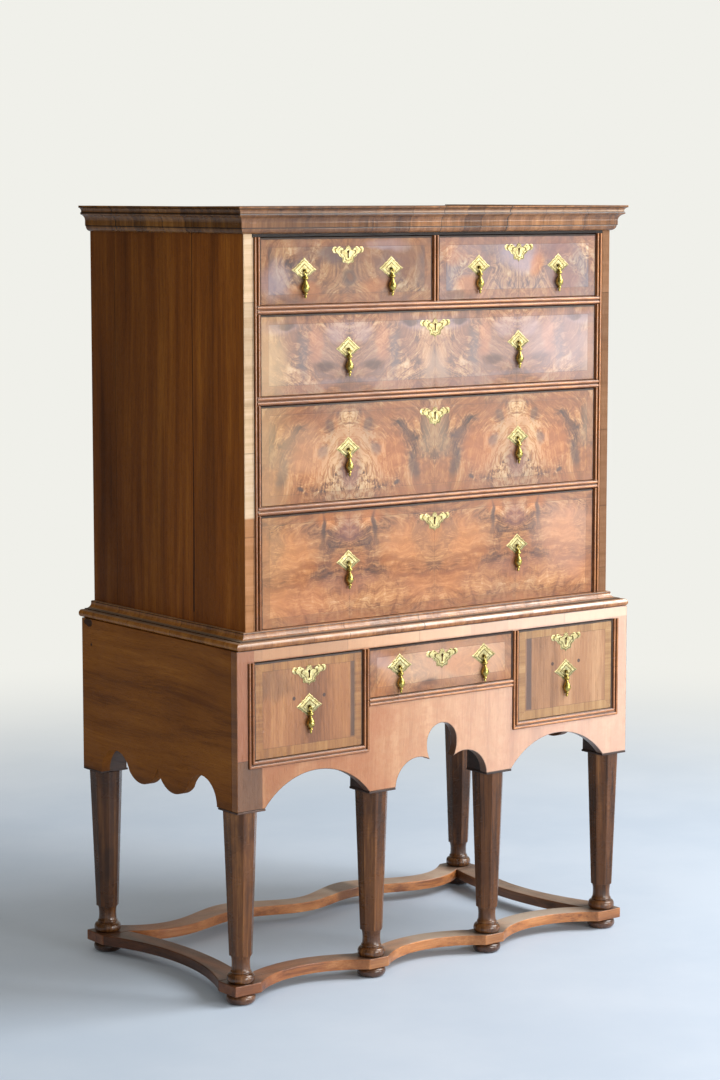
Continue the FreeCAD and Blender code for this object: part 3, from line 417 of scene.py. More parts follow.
# %% Its stains and blush
unmatched = shifted(given["Vector"], 7.0, (2.3, 0.0, 1.1), 0.12)
stain = noise(unmatched, 6.5, 3.0) * 0.45 + noise(swirl + (4.1, 0, 2.2), 9.0, 4.0, 0.6, 0.5) * 0.55
colour = blend(spread(stain, 0.46, 0.60) * given["Smoke"] * 0.85, figure, paint(98, 74, 66))
blush = spread(noise(swirl + (7.7, 0, 5.1), 10.0, 3.0), 0.44, 0.60)
colour = blend(blush * given["Warmth"] * 0.75, colour, paint(176, 100, 46))
hairs = spread(noise(fine_place + (3.0, 0, 9.0), 0.8, 4.0, 0.7, 0.6), 0.56, 0.72)
give(Color=blend(hairs * 0.45, colour, paint(58, 36, 28)), Height=fine * 0.3 - hairs * 0.5)
ragged = shifted(together(folded, 0, z), 11.0, (5.1, 0, 3.3), 0.05)
give(Leaf_place=shifted(ragged, 48.0, (0.7, 0.2, 0.4), 0.016))

# %% [markdown]
# ## Crossbanding
# A strip of veneer with its grain square to the edge frames a drawer front. This group measures how far
# a point is from the nearest edge. It gives the band as a mask, the fine dark joint inside it, a painted
# shadow in the gap along the top and the ends of the front, and coordinates whose grain is square to
# that edge.

# %% Crossband
given = effect(
    "crossband", {"Vector": None, "Low": None, "High": None, "Width": 0.018},
    ["Band", "Joint", "Rim", "Grain"],
)
from_low = split(given["Vector"] - given["Low"])
from_high = split(given["High"] - given["Vector"])
sideways = smaller(from_low[0], from_high[0])
upwards = smaller(from_low[2], from_high[2])
rough_edge = noise(given["Vector"], 90.0) * 0.0016 - 0.0008
over = smaller(sideways, upwards) + rough_edge - given["Width"]
give(Band=spread(over, 0.0004, -0.0004), Joint=spread(abs(over), 0.0009, 0.0002))
# Painted shadow in the gap round a front: widest at the top, narrow along the ends, none at the bottom.
to_gap_shadow = smaller(smaller(from_low[2] + 0.0022, from_high[2] - 0.0014), sideways + 0.0003)
give(Rim=spread(to_gap_shadow + rough_edge, 0.0032, 0.0014))
x, y, z = split(given["Vector"])
at_end = sideways < upwards
give(Grain=put("Mix", {0: at_end, 4: given["Vector"], 5: together(z, y, x)}, data_type="VECTOR")[1])

# %% [markdown]
# ## Short pieces glued in a row
# Cornice, waist moulding, beading and stiles are cross-grained: many short pieces side by side, each cut
# from another place in the plank. This group numbers the pieces along a run, gives each a tone of its
# own, and draws the joints, some of which have opened.


# %% Row of pieces
def chance(value, kind="TexWhiteNoise", result="Value", **steady):
    """A random number that depends on one value."""
    return put(kind, {"W": value, **steady}, noise_dimensions="1D")[result]


given = effect("row_of_pieces", {"Along": 0.0, "Length": 0.06, "Seed": 0.0}, ["Tone", "Joint"])
number = given["Along"] / given["Length"] + given["Seed"]
number = chance(number * 0.37, "TexNoise", "Fac", Scale=1.0, Detail=0.0) * 1.6 + number
within = maths("FRACT", number)
line = spread(smaller(within, 1.0 - within) * given["Length"], 0.0011, 0.0003)
opened = spread(chance(maths("ROUND", number)), 0.1, 0.9, 0.25, 1.0)
give(Tone=chance(maths("FLOOR", number)), Joint=line * opened)

# %% [markdown]
# ## Old polish
# Three hundred years of wax leave a surface that is glossy where it was rubbed and dull where it was
# not, with fine scratches and small dents. The group gives a roughness, a height and the clouds of bloom.
# Worn edges are a second effect: it reads a mark that the bevels leave on the mesh, and breaks it up.

# %% Old polish
given = effect("old_polish", {"Vector": None, "Shine": 0.32, "Dull": 0.5}, ["Roughness", "Height", "Bloom"])
cloud = spread(noise(given["Vector"], 5.5, 5.0, 0.62), 0.32, 0.68)
smear = spread(noise(given["Vector"] * (14, 14, 60), 1.0, 3.0), 0.35, 0.75)
turn = put("Mapping", {"Vector": given["Vector"], "Rotation": (0.4, 0.9, 0.3)})[0]
scratch = spread(noise(turn * (9, 9, 700), 1.0, 1.0), 0.67, 0.74)
dents = spread(noise(given["Vector"], 55.0, 1.0), 0.70, 0.80)
worn = scratch * 0.25 + smear * 0.35 + cloud * 0.65
give(Bloom=cloud, Roughness=spread(worn, 0.0, 1.1, given["Shine"], given["Dull"]))
give(Height=noise(given["Vector"], 28.0) * 0.55 - dents * 0.8 - scratch * 0.35)

# %% Worn edges
given = effect("worn_edge", {"Vector": None}, ["Wear"])
patchy = spread(noise(given["Vector"], 45.0, 4.0, 0.65), 0.38, 0.60)
give(Wear=put("Attribute", attribute_name="arris")["Fac"] * patchy)
print("shared effects:", sorted(group.name for group in bpy.data.node_groups))

# %% [markdown]
# ## How a finish is built up
# Each finish reads the object's own coordinates, in metres, so that a plank of grain has its true size.
# It starts as a plain plank, tints and marks are laid over it one after another, and it ends in one
# shader with a bump. Numbers that are the same all over are set straight on that shader.


# %% Wood, marks and layers
def wood(place, shades, seed, **steady):
    """Straight-grained wood along Z, in a dark, a middle and a light shade."""
    dark, middle, light = (paint(*shade) for shade in shades)
    return use("straight_grain", Vector=place, Dark=dark, Middle=middle, Light=light, Seed=seed, **steady)


def along(place, way):
    """Coordinates in which grain that runs along X, Y or Z runs along Z."""
    x, y, z = split(place)
    return together(*{"X": (z, y, x), "Y": (x, z, y), "Z": (x, y, z)}[way])


def mark_at(value, at, half_width):
    """A mask that is 1 where the value is within half_width of at."""
    return spread(abs(value - at), half_width, half_width * 0.5)


def layered(colour, *layers):
    """Lays tints over a colour, each an amount and a tint, which may be a colour value itself."""
    for amount, tint in layers:
        colour = blend(amount, colour, tint if isinstance(tint, Value) else paint(*tint))
    return colour


# %% A plain plank
def plank(name, shades, seed, way="Z", shine=0.38, dull=0.6, bands=55.0, waver=0.03):
    """Gives what a finish needs, so that marks can be added before it is completed."""
    place = start(name)
    grain = wood(along(place, way), shades, seed, Bands=bands, Waver=waver)
    polish = use("old_polish", Vector=place, Shine=shine, Dull=dull)
    wear = use("worn_edge", Vector=place)["Wear"]
    colour = blend(wear * 0.55, grain["Color"], tinted(grain["Color"], (1.45, 1.4, 1.3)))
    return place, colour, polish["Roughness"], polish["Height"] * 0.6 + grain["Height"]


# %% [markdown]
# ## The sides of the upper case
# Wide plain boards with upright grain, warm and dark. Their front edges are the outer half of the flat
# stiles, so they carry the same pale cross-cut pieces. The left board has split: a crack opens at mid
# height and widens to the bottom, and hair lines show where its boards meet.


# %% The cross-cut wood of the stiles
def stile_wood(place):
    """Pale pieces with level grain, redder on the right stile and low on the left one."""
    x, y, z = split(place)
    row = use("row_of_pieces", Along=z, Length=0.12, Seed=0.7)
    pieces = wood(along(place, "X"), ((182, 154, 122), (202, 174, 142), (214, 190, 162)), 8.4, Bands=70.0)
    colour = tinted(pieces["Color"], blend(row["Tone"], (0.82, 0.80, 0.78), (1.12, 1.1, 1.08)))
    on_right = x > 0.0
    redder = tinted(colour, blend(on_right, (0.66, 0.40, 0.24), (0.28, 0.155, 0.09)))
    low_part = larger(spread(z, 0.944, 0.940), on_right)
    return layered(colour, (low_part * 0.9, redder), (row["Joint"] * 0.7, (60, 38, 26)))


# %% Side boards
for name, shades, seed, crack in (
    ("left_side_walnut", ((96, 50, 12), (124, 68, 18), (150, 90, 28)), 1.3, -0.0785),
    ("right_side_walnut", ((78, 46, 24), (104, 66, 36), (128, 86, 50)), 4.9, 0.121),
):
    place, colour, roughness, height = plank(name, shades, seed, shine=0.44, bands=38.0, waver=0.05)
    x, y, z = split(place)
    strayed = noise(place, 7.0, 3.0) * 0.006 + y - 0.003
    opening = (abs(strayed - crack) < spread(z, 1.14, 0.78, 0.0003, 0.0021)) * (z > 0.745)
    lines = larger(larger(mark_at(strayed, crack, 0.0016) * 0.65, mark_at(y, 0.199, 0.0014) * 0.4), opening)
    streak = spread(noise(place * (9, 9, 0.7), 1.0), 0.5, 0.68)
    # Painted light: the board is lighter toward its front edge and darker toward the back.
    painted_front_light = blend(spread(y, 0.20, -0.24), (0.84, 0.82, 0.8), (1.5, 1.48, 1.25))
    colour = tinted(layered(colour, (streak * 0.4, (80, 42, 12))), painted_front_light)
    colour = layered(colour, (lines, (22, 12, 8)), (spread(y, -0.2500, -0.2512), stile_wood(place)))
    complete(colour, roughness, height - lines * 2.0, Specular_IOR_Level=0.12)

# %% [markdown]
# ## The sides of the stand
# One board each, its grain running from front to back with a soft wave. A corner of veneer has gone at
# the top of the left one, at the back, and a small plug shows beside it.

# %% The wood of the stand's sides
STAND_SIDE = ((112, 62, 16), (142, 84, 24), (164, 102, 36))


def stand_side_wood(place):
    """Wavy and cloudy wood, less red on the right side."""
    grain = wood(along(place, "Y"), STAND_SIDE, 7.7, Bands=30.0, Waver=0.12)
    cloudy = spread(noise(place * (4, 4, 9), 1.0, 3.0), 0.45, 0.7)
    browner = blend(split(place)[0] > 0.0, (1, 1, 1), (0.68, 0.86, 2.2))
    return tinted(layered(grain["Color"], (cloudy * 0.3, (102, 54, 20))), browner)


# %% Stand sides
place, colour, roughness, height = plank(
    "stand_side_walnut", STAND_SIDE, 7.7, "Y", 0.42, bands=30.0, waver=0.12
)
x, y, z = split(place)
ragged = shifted(place, 60.0, (0, 0, 0), 0.010)
to_lost_corner = length((ragged - (-0.5, 0.2525, 0.6865)) * (0, 1, 2.2))
to_plug = length((place - (-0.5, 0.2417, 0.6424)) * (0, 1, 1))
chip = larger(spread(to_lost_corner, 0.017, 0.014), spread(to_plug, 0.0035, 0.0025)) * (x < 0.0)
bottom_wear = spread(z, 0.41, 0.385) * 0.5
colour = layered(stand_side_wood(place), (chip * 0.85, (38, 24, 17)), (bottom_wear, (70, 38, 20)))
complete(colour, roughness, height - chip * 3.0, Specular_IOR_Level=0.15)

# %% [markdown]
# ## Cross-grained runs
# The flat stiles beside the drawers, the cornice, the waist moulding and the half-round beading are all
# built of short cross-cut pieces. They differ in tone, and the joints between them show. Painted shade
# sits in the hollows of a moulding and a painted highlight on its crests, its side returns are painted
# as in shade, and dust lies where it faces up.


# %% A run of cross-cut pieces
def run_of_pieces(name, shades, seed, way, piece, turn, depth, contrast, shaded_hollows, highlit_crests, highlight_colour):
    """The run follows X, or axis turn where the face turns; shaded_hollows and highlit_crests mask painted
    shade and highlight.
    """
    place, colour, roughness, height = plank(name, shades, seed, way, 0.14, 0.3, 70.0)
    normal = split(put("TexCoord")["Normal"])
    spot = split(place)
    turned_away = abs(normal[0]) > abs(normal[turn])
    run = put("Mix", {0: turned_away, 2: spot[0], 3: spot[turn]})[0]
    row = use("row_of_pieces", Along=run, Length=piece, Seed=seed)
    pale = tinted(colour, (1.32, 1.30, 1.25))
    deep = tinted(colour, (0.66, 0.62, 0.58))
    colour = blend(contrast, colour, blend(row["Tone"], deep, pale))
    to_front = spread(abs(normal[0]), 0.3, 0.2)
    # Painted shade on the side returns: a darker, yellower copy of the colour.
    colour = tinted(colour, blend(to_front, (0.92, 0.86, 0.5), (1, 1, 1)))
    # The painted highlight on the crests is patchy and weaker toward the left; the hollows carry painted
    # shade.
    patchy = spread(noise(place, 26.0, 3.0), 0.3, 0.6, 0.35, 1.0) * spread(spot[0], -0.45, 0.2, 0.3, 1.0)
    upward = spread(normal[2], 0.8, 0.95)
    colour = layered(
        colour, (highlit_crests(spot) * patchy * to_front, highlight_colour), (shaded_hollows(spot) * 0.85, (40, 24, 18)),
        (row["Joint"] * (0.85 * contrast), (30, 18, 12)), (upward * 0.5, (150, 134, 116)),
    )
    coat = to_front * (1.0 - upward) * 0.4 + 0.03
    complete(
        colour, upward * 0.45 + roughness, height - row["Joint"] * 1.2, depth, Coat_Weight=coat,
        Specular_IOR_Level=0.35, Coat_Roughness=0.09,
    )


def level_lines(*lines):
    """Gives a function that marks level lines, each a height and a half width."""
    def marks(spot):
        masks = [mark_at(spot[2], at, half_width) for at, half_width in lines]
        while len(masks) > 1:
            masks.append(larger(masks.pop(), masks.pop()))
        return masks[0]
    return marks


def bead_rise(low, high):
    """Gives a function that marks how far a bead has risen from the board it stands on."""
    def marks(spot):
        board = put("Mix", {0: spot[2] > 0.71, 2: -0.2769, 3: -0.2517})[0]
        return spread(board - spot[1], low, high)
    return marks


# %% Cornice, waist moulding and beading
# Level lines and bead heights mark the hollows for painted shade and the crests for a painted highlight.
run_of_pieces(
    "cornice_walnut", ((82, 50, 26), (120, 78, 44), (150, 104, 64)), 2.1, "Z", 0.062, 1, 0.0003, 1.0,
    level_lines((1.4896, 0.0015), (1.5155, 0.0022), (1.5262, 0.0012)), level_lines((1.5195, 0.0022)),
    (176, 142, 112),
)
run_of_pieces(
    "waist_walnut", ((116, 70, 36), (150, 98, 56), (172, 120, 74)), 5.6, "Z", 0.068, 1, 0.0002, 0.6,
    level_lines((0.7104, 0.0018), (0.7232, 0.0012)), level_lines((0.7052, 0.0034), (0.7185, 0.0018)),
    (232, 208, 190),
)
run_of_pieces(
    "bead_walnut", ((112, 66, 38), (126, 76, 45), (140, 88, 54)), 3.2, "Y", 0.05, 2, 0.00005, 0.3,
    bead_rise(0.0029, 0.0010), bead_rise(0.0029, 0.0035), (198, 134, 84),
)

# %% Stiles and rails between the drawers
place, colour, roughness, height = plank(
    "crossbanded_stile", ((100, 60, 38), (140, 90, 60), (170, 116, 80)), 8.4, "X", 0.3, 0.5
)
x, y, z = split(place)
on_stile = spread(abs(x), 0.4250, 0.4262)
# Painted shadow in the strip under the cornice, above the top drawers.
shadow_under_cornice = spread(z, 1.4712, 1.4730)
colour = layered(colour, (on_stile, stile_wood(place)), (shadow_under_cornice, (26, 16, 12)))
complete(colour, roughness, height, Specular_IOR_Level=0.25)

# %% [markdown]
# ## The stand's front
# Its apron is veneered with upright grain in a bright orange brown, painted deeper toward the left as
# shade where less light reaches it, and with a painted sheen toward the right. The frieze under the waist
# moulding is paler, and the left bracket has been pieced with a greyer wood. The sawn edges of the arches,
# like every face that turns away from the front, carry painted shade, and the rounded arrises are darker.

# %% Apron
place, colour, roughness, height = plank(
    "apron_walnut", ((164, 110, 74), (190, 138, 98), (206, 158, 118)), 6.3, "Z", 0.3, 0.5, 26.0, 0.1
)
x, y, z = split(place)
ripple = noise(shifted(place, 5.0, (0, 0, 0), 0.02) * (60, 60, 90), 1.0, 4.0, 0.6)
patch = spread(noise(place, 7.0, 4.0), 0.44, 0.66)
frieze = spread(z, 0.672, 0.675)
row = use("row_of_pieces", Along=x, Length=0.14, Seed=2.6)
colour = layered(
    colour, (spread(ripple, 0.42, 0.62, 0.0, 0.25), (176, 106, 62)), (patch * 0.35, (172, 98, 56)),
    (frieze * 0.65, (214, 178, 148)),
)
toned = tinted(colour, blend(row["Tone"], (0.86, 0.84, 0.83), (1.12, 1.1, 1.06)))

# %% The apron's repairs, edges, painted shade and painted sheen
BRACKET_TOP, BRACKET_EDGE, STILE_EDGE = 0.481, -0.4415, -0.4595
corner = (x < BRACKET_EDGE) * (z < BRACKET_TOP)
greyer = blend(noise(place * (60, 60, 7), 1.0, 3.0), paint(84, 60, 44), paint(152, 112, 80))
stile = (x < STILE_EDGE) * (z > BRACKET_TOP)
edge_cut = mark_at(z, 0.4815, 0.0009) * (x < BRACKET_EDGE)
cracks = larger(row["Joint"] * (frieze * 0.5), edge_cut)
arris = put("Attribute", attribute_name="arris")["Fac"]
colour = layered(
    colour, (frieze * 0.9, toned), (corner * 0.95, greyer), (stile * 0.75, (170, 112, 82)),
    (cracks * 0.7, (54, 32, 22)), (arris * 0.6, (58, 32, 20)),
)
# Painted shade: darker toward the left, where less light falls.
colour = tinted(colour, blend(spread(x, -0.48, 0.15), (0.72, 0.60, 0.48), (1.06, 1.07, 1.08)))
# Painted sheen toward the right, and painted shade on the faces that turn away from the front.
facing = split(put("TexCoord")["Normal"])[1]
shaded_faces = spread(abs(facing), 0.7, 0.35, 0.0, 0.8)
colour = layered(
    colour, (spread(x, -0.25, 0.40, 0.0, 0.3), (238, 218, 210)), (shaded_faces, (60, 34, 20)),
    (spread(abs(x), 0.4985, 0.4995), stand_side_wood(place)),
)
complete(colour, roughness, height, Coat_Weight=0.2, Coat_Roughness=0.25)

# %% [markdown]
# ## Legs, caps, stretchers and feet
# The legs are solid walnut stained a deep red brown, and worn pale on their arrises; the back legs and
# their feet are painted darker as shade. Feet and traffic have rubbed the stretchers orange at the edges.
# Painted shade darkens the stretchers toward the left, dust and a painted sheen lighten their tops
# toward the right, and grime has gathered on them round the legs.

# %% Legs, feet and caps
CORNER_LEG_X, MIDDLE_LEG_X, LEG_Y, BACK_LEG_Y = 0.4685, 0.1505, 0.240, 0.241
for name, shades, way, seed in (
    ("leg_walnut", ((54, 31, 14), (100, 60, 28), (152, 101, 54)), "Z", 9.1),
    ("foot_walnut", ((50, 28, 16), (80, 47, 27), (116, 74, 44)), "X", 2.9),
):
    place, colour, roughness, height = plank(name, shades, seed, way, 0.2, 0.38, 64.0)
    x, y, z = split(place)
    stained = spread(noise(place * (16, 16, 8), 1.0, 4.0, 0.6), 0.46, 0.68)
    # Painted shade: the back legs and feet are darker.
    back_leg_shade = blend(spread(y, -0.1, 0.1), (1, 1, 1), (0.6, 0.58, 0.55))
    colour = tinted(layered(colour, (stained * 0.6, (50, 29, 16))), back_leg_shade)
    coat = spread(z, 0.090, 0.070, 0.1, 0.7)
    complete(colour, roughness, height, Coat_Weight=coat, Specular_IOR_Level=0.35, Coat_Roughness=0.12)
place, *surface = plank("cap_walnut", ((34, 22, 17), (58, 36, 26), (82, 54, 38)), 3.8, "X", 0.35)
complete(*surface, 0.0003)


# %% Stretchers
def level_distance(place, x, y):
    return length((place - (x, y, 0)) * (1, 1, 0))


for name, shades, dusty, way, seed in (
    ("stretcher_walnut", ((120, 70, 36), (172, 110, 60), (200, 142, 90)), 0.9, "X", 1.9),
    ("side_stretcher_walnut", ((74, 44, 22), (112, 70, 38), (142, 94, 56)), 0.4, "Y", 5.2),
):
    place, colour, roughness, height = plank(name, shades, seed, way, 0.32, 0.52, 60.0, 0.05)
    x, y, z = split(place)
    up = split(put("TexCoord")["Normal"])[2]
    # Painted shade: darker toward the left.
    colour = tinted(colour, blend(spread(x, -0.50, 0.05), (0.62, 0.50, 0.42), (1.08, 1.06, 1.04)))
    dust_and_sheen = spread(noise(place, 9.0, 4.0), 0.3, 0.62, 0.45 * dusty, dusty) * spread(up, 0.7, 0.95)
    mirrored = abs(place)
    to_middle_leg = level_distance(mirrored, MIDDLE_LEG_X, LEG_Y) + (y > 0.0)
    to_leg = smaller(level_distance(mirrored, CORNER_LEG_X, LEG_Y), to_middle_leg)
    ragged = to_leg - noise(place, 30.0, 3.0) * 0.05
    grime = spread(ragged, 0.050, -0.002, 0.0, 0.85) * spread(up, 0.3, 0.9, 0.45, 1.0)
    repair = mark_at(x, 0.13, 0.045) * (y > 0.1)
    # The tops take dust and a painted sheen, both growing toward the right.
    colour = layered(
        colour, (dust_and_sheen * spread(x, -0.45, 0.15, 0.1, 1.0), (204, 188, 172)), (grime, (62, 36, 22)),
        (repair * 0.7, (76, 46, 32)),
    )
    complete(colour, roughness, height, Coat_Weight=0.15, Coat_Roughness=0.3)

# %% [markdown]
# ## Wood that stays out of sight
# Backs, runners and blocks are pine, brown with age. The drawer boxes are lined in pale oak. The top
# boards sit above eye level, so they were left plain, and they gather dust.

# %% Pine, oak and the dusty top
place, *surface = plank(
    "old_pine", ((104, 68, 38), (146, 102, 60), (176, 130, 82)), 1.1, "X", 0.6, 0.8, 34.0, 0.06
)
complete(*surface, 0.0006)
place, colour, roughness, height = plank(
    "upright_pine", ((96, 62, 36), (138, 94, 56), (168, 122, 78)), 6.6, "Z", 0.6, 0.8, 30.0, 0.06
)
joint = use("row_of_pieces", Along=split(place)[0], Length=0.21, Seed=0.4)["Joint"]
complete(layered(colour, (joint * 0.9, (26, 18, 12))), roughness, height - joint * 2.0, 0.0006)
place, colour, roughness, height = plank(
    "drawer_oak", ((138, 100, 62), (178, 138, 92), (204, 168, 122)), 4.4, "Y", 0.6, 0.8, 60.0
)
grime = spread(noise(place, 6.0, 4.0), 0.42, 0.68)
complete(layered(colour, (grime * 0.35, (112, 80, 52))), roughness, height)
place, colour, roughness, height = plank(
    "top_walnut", ((70, 42, 26), (110, 70, 42), (142, 96, 60)), 7.2, "X", 0.5, 0.7, 34.0, 0.06
)
film = spread(noise(place, 4.0, 5.0, 0.6), 0.3, 0.7, 0.15, 0.5)
complete(layered(colour, (film, (134, 118, 102))), roughness, height, Specular_IOR_Level=0.15)

# %% [markdown]
# ## Drawer fronts
# Veneer is only a millimetre and a half thick, so the end of a drawer front shows its pine core, with
# the oak tails of the drawer's side let into it. On the face, burr leaves sit inside a crossband. The left
# end of some fronts is paler, partly from sun bleaching and partly as painted glare, a cool tint paints the
# sheen of a bright room over others, and a painted shadow lies in the gap along the top and the ends.


# %% The core and dovetails behind a veneer
def with_core(place, colour, box):
    """Shows pine and oak dovetails where a front's surface is deeper than its veneer."""
    low, high = box
    x, y, z = split(place)
    pine = wood(along(place, "X"), ((120, 82, 48), (160, 116, 72), (188, 146, 98)), low.z)["Color"]
    oak = blend(noise(place * (900, 14, 900), 1.0), paint(150, 112, 72), paint(196, 158, 112))
    deep = y - low.y
    pitch = (high.z - low.z) / max(2, round((high.z - low.z) / 0.06))
    from_middle = pitch / 2 - maths("PINGPONG", z - low.z, pitch / 2)
    flare = pitch / 4 + 0.004 - deep * 0.35
    tailed = deep > 0.006
    gap = spread(abs(from_middle - flare), 0.0007, 0.0003)
    core = layered(pine, ((from_middle < flare) * tailed, oak), (gap * tailed, (60, 38, 24)))
    return blend(y > low.y + 0.0016, colour, core)


# %% Patches of tint
def patched(colour, place, patches):
    """Lays ragged soft spots over a colour: x, z, half width and half height in mm, tint and amount."""
    for x, z, wide, tall, tint, amount in patches:
        away = (place - (x / 1000, 0, z / 1000)) * (1 / (wide / 1000), 0, 1 / (tall / 1000))
        colour = layered(colour, (spread(length(away), 0.45, 1.35, amount, 0.0), tint))
    return colour


# %% A burr front
def burr_front(drawer, middle, eye, squeeze, reach, seed, smoke, warmth, bleach_and_glare_amount=0.0, leaf=0.2125, figure=0.9,
               matched=(), own=(), painted_sheen=(1, 1, 1)):
    """matched patches repeat on every leaf and count from its seam; own ones are on the front once."""
    place = start(drawer + "_veneer")
    low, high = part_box(drawer + "_front")
    burr = use("matched_veneer", Vector=place, Middle=middle, Leaf=leaf, Eye=eye, Squeeze=squeeze,
               Burr_reach=reach, Seed=seed, Smoke=smoke, Warmth=warmth, Figure=figure)
    colour = patched(burr["Color"], burr["Leaf place"], matched)
    if own:
        colour = patched(colour, shifted(place, 14.0, (seed, 0, 0), 0.06), own)
    edge = use("crossband", Vector=place, Low=low, High=high, Width=0.0185)
    band = wood(edge["Grain"], ((96, 54, 30), (130, 78, 44), (156, 100, 60)), seed, Bands=60.0)["Color"]
    # painted_sheen tints the front with the cool sheen of a bright room.
    colour = layered(tinted(colour, painted_sheen), (edge["Band"] * 0.45, band), (edge["Joint"] * 0.28, (56, 34, 26)))
    x, y, z = split(place)
    for seam in (middle, middle - leaf, middle + leaf):
        if low.x + 0.03 < seam < high.x - 0.03:
            colour = layered(colour, (mark_at(x, seam, 0.0008) * 0.35, (70, 46, 36)))
    # The left end is paler, partly from sun bleaching and partly as painted glare.
    bleach_and_glare = spread(x, low.x + 0.10, low.x + 0.01) * noise(place, 9.0, 3.0)
    polish = use("old_polish", Vector=place, Shine=0.28, Dull=0.46)
    worn = use("worn_edge", Vector=place)["Wear"]
    # Then bloom, wear, and a painted shadow in the gap round the front.
    colour = layered(
        colour, (bleach_and_glare * bleach_and_glare_amount, (206, 172, 126)), (polish["Bloom"] * 0.08, (186, 158, 150)),
        (worn * 0.4, (160, 104, 66)), (edge["Rim"] * 0.92, (24, 14, 10)),
    )
    height = burr["Height"] * 0.5 + polish["Height"] - edge["Joint"] * 0.6
    complete(
        with_core(place, colour, (low, high)), polish["Roughness"], height, Specular_IOR_Level=0.22,
        Coat_Weight=0.25, Coat_Roughness=0.13,
    )


# %% Tints found in the burr
ORANGE, BROWN, SMOKE = (186, 102, 44), (128, 70, 36), (92, 72, 66)
LILAC, PALE, PURPLE, SOOT = (162, 132, 126), (196, 148, 108), (122, 76, 66), (54, 42, 40)

# %% The two small fronts
burr_front(
    "small_left_drawer", -0.216, (0.10, 0, 1.42), (1.0, 0, 1.5), 0.10, 0.41, 0.9, 0.35,
    painted_sheen=(0.84, 1.04, 1.28),
    own=[
        (-216, 1400, 200, 50, SMOKE, 0.2), (-200, 1440, 160, 20, BROWN, 0.4),
        (-390, 1390, 45, 34, LILAC, 0.6), (-318, 1375, 40, 16, ORANGE, 0.5), (-240, 1440, 55, 24, SMOKE, 0.7),
        (-155, 1375, 34, 18, ORANGE, 0.45), (-130, 1455, 50, 14, LILAC, 0.6), (-70, 1415, 30, 30, BROWN, 0.6),
        (-213, 1386, 12, 14, SOOT, 0.65), (-213, 1386, 6, 7, BROWN, 0.6),
    ],
)
burr_front(
    "small_right_drawer", 0.216, (0.15, 0, 1.40), (1.2, 0, 1.3), 0.12, 1.73, 0.8, 0.35,
    painted_sheen=(1.06, 1.36, 1.7),
    own=[
        # The first patch is a painted sheen: a faint pale haze over the whole front.
        (216, 1400, 900, 400, (200, 190, 192), 0.1), (216, 1400, 200, 50, SMOKE, 0.2),
        (300, 1440, 80, 20, PURPLE, 0.5), (215, 1425, 50, 36, LILAC, 0.6), (45, 1445, 34, 22, ORANGE, 0.35),
        (85, 1378, 40, 20, ORANGE, 0.4), (50, 1360, 50, 10, SOOT, 0.6), (260, 1415, 20, 30, ORANGE, 0.5),
        (350, 1385, 45, 34, PURPLE, 0.5),
    ],
)

# %% The three long fronts
burr_front(
    "second_drawer", 0.0, (0.215, 0, 1.335), (1.0, 0, 1.25), 0.10, 2.90, 0.7, 0.30, 0.5,
    figure=1.25, painted_sheen=(0.92, 1.06, 1.25),
    matched=[
        (12, 1222, 30, 34, PALE, 0.45), (128, 1262, 20, 34, ORANGE, 0.45), (70, 1268, 18, 34, BROWN, 0.6),
        (182, 1300, 34, 24, LILAC, 0.5), (98, 1240, 12, 40, SMOKE, 0.5), (40, 1300, 40, 16, LILAC, 0.5),
        (60, 1250, 160, 70, (200, 174, 160), 0.22), (150, 1226, 26, 10, SOOT, 0.55),
        (62, 1303, 14, 9, SOOT, 0.6), (100, 1190, 110, 12, LILAC, 0.3),
    ],
    own=[(330, 1250, 120, 70, (190, 160, 152), 0.35), (-400, 1230, 40, 60, (196, 156, 114), 0.45)],
)
burr_front(
    "third_drawer", 0.0, (0.2125, 0, 0.985), (1.05, 0, 1.0), 0.17, 3.55, 0.45, 0.6, 0.5,
    figure=1.15, painted_sheen=(0.94, 1.08, 1.22),
    matched=[
        (118, 1042, 55, 50, ORANGE, 0.55), (100, 1128, 85, 13, BROWN, 0.6),
        (18, 1085, 26, 50, (140, 106, 76), 0.6), (212.5, 1030, 20, 60, PURPLE, 0.6),
        (52, 1020, 13, 28, SOOT, 0.7), (160, 1108, 13, 11, SOOT, 0.6), (100, 988, 8, 5, SOOT, 0.8),
        (152, 1062, 9, 14, SMOKE, 0.6),
    ],
    own=[(-330, 1060, 70, 50, (196, 150, 112), 0.3)],
)
burr_front(
    "fourth_drawer", 0.0, (0.2125, 0, 0.90), (0.5, 0, 2.4), 0.06, 5.20, 0.35, 0.6, 0.3,
    figure=0.75, painted_sheen=(1.08, 1.22, 1.42),
    matched=[
        (212.5, 912, 40, 30, PURPLE, 0.65), (148, 926, 26, 20, ORANGE, 0.5), (145, 902, 7.5, 36, SOOT, 0.8),
        (168, 876, 12, 7, SOOT, 0.5), (200, 800, 50, 24, PURPLE, 0.35),
        (60, 870, 90, 40, (196, 128, 78), 0.35), (110, 780, 120, 30, (184, 114, 68), 0.3),
        (110, 838, 70, 6, BROWN, 0.5), (60, 806, 80, 5, BROWN, 0.45),
    ],
    own=[(345, 850, 90, 90, (190, 152, 132), 0.25), (-330, 760, 100, 40, (180, 104, 60), 0.35)],
)

# %% [markdown]
# ## Fronts of the stand's drawers
# The two deep drawers carry a plain panel with upright grain in a golden crossband, and a dark upright
# strip let in near the inner end. Two plugged holes beside each drop show where a bail handle once hung.
# The shallow drawer between them has burr like the upper ones.

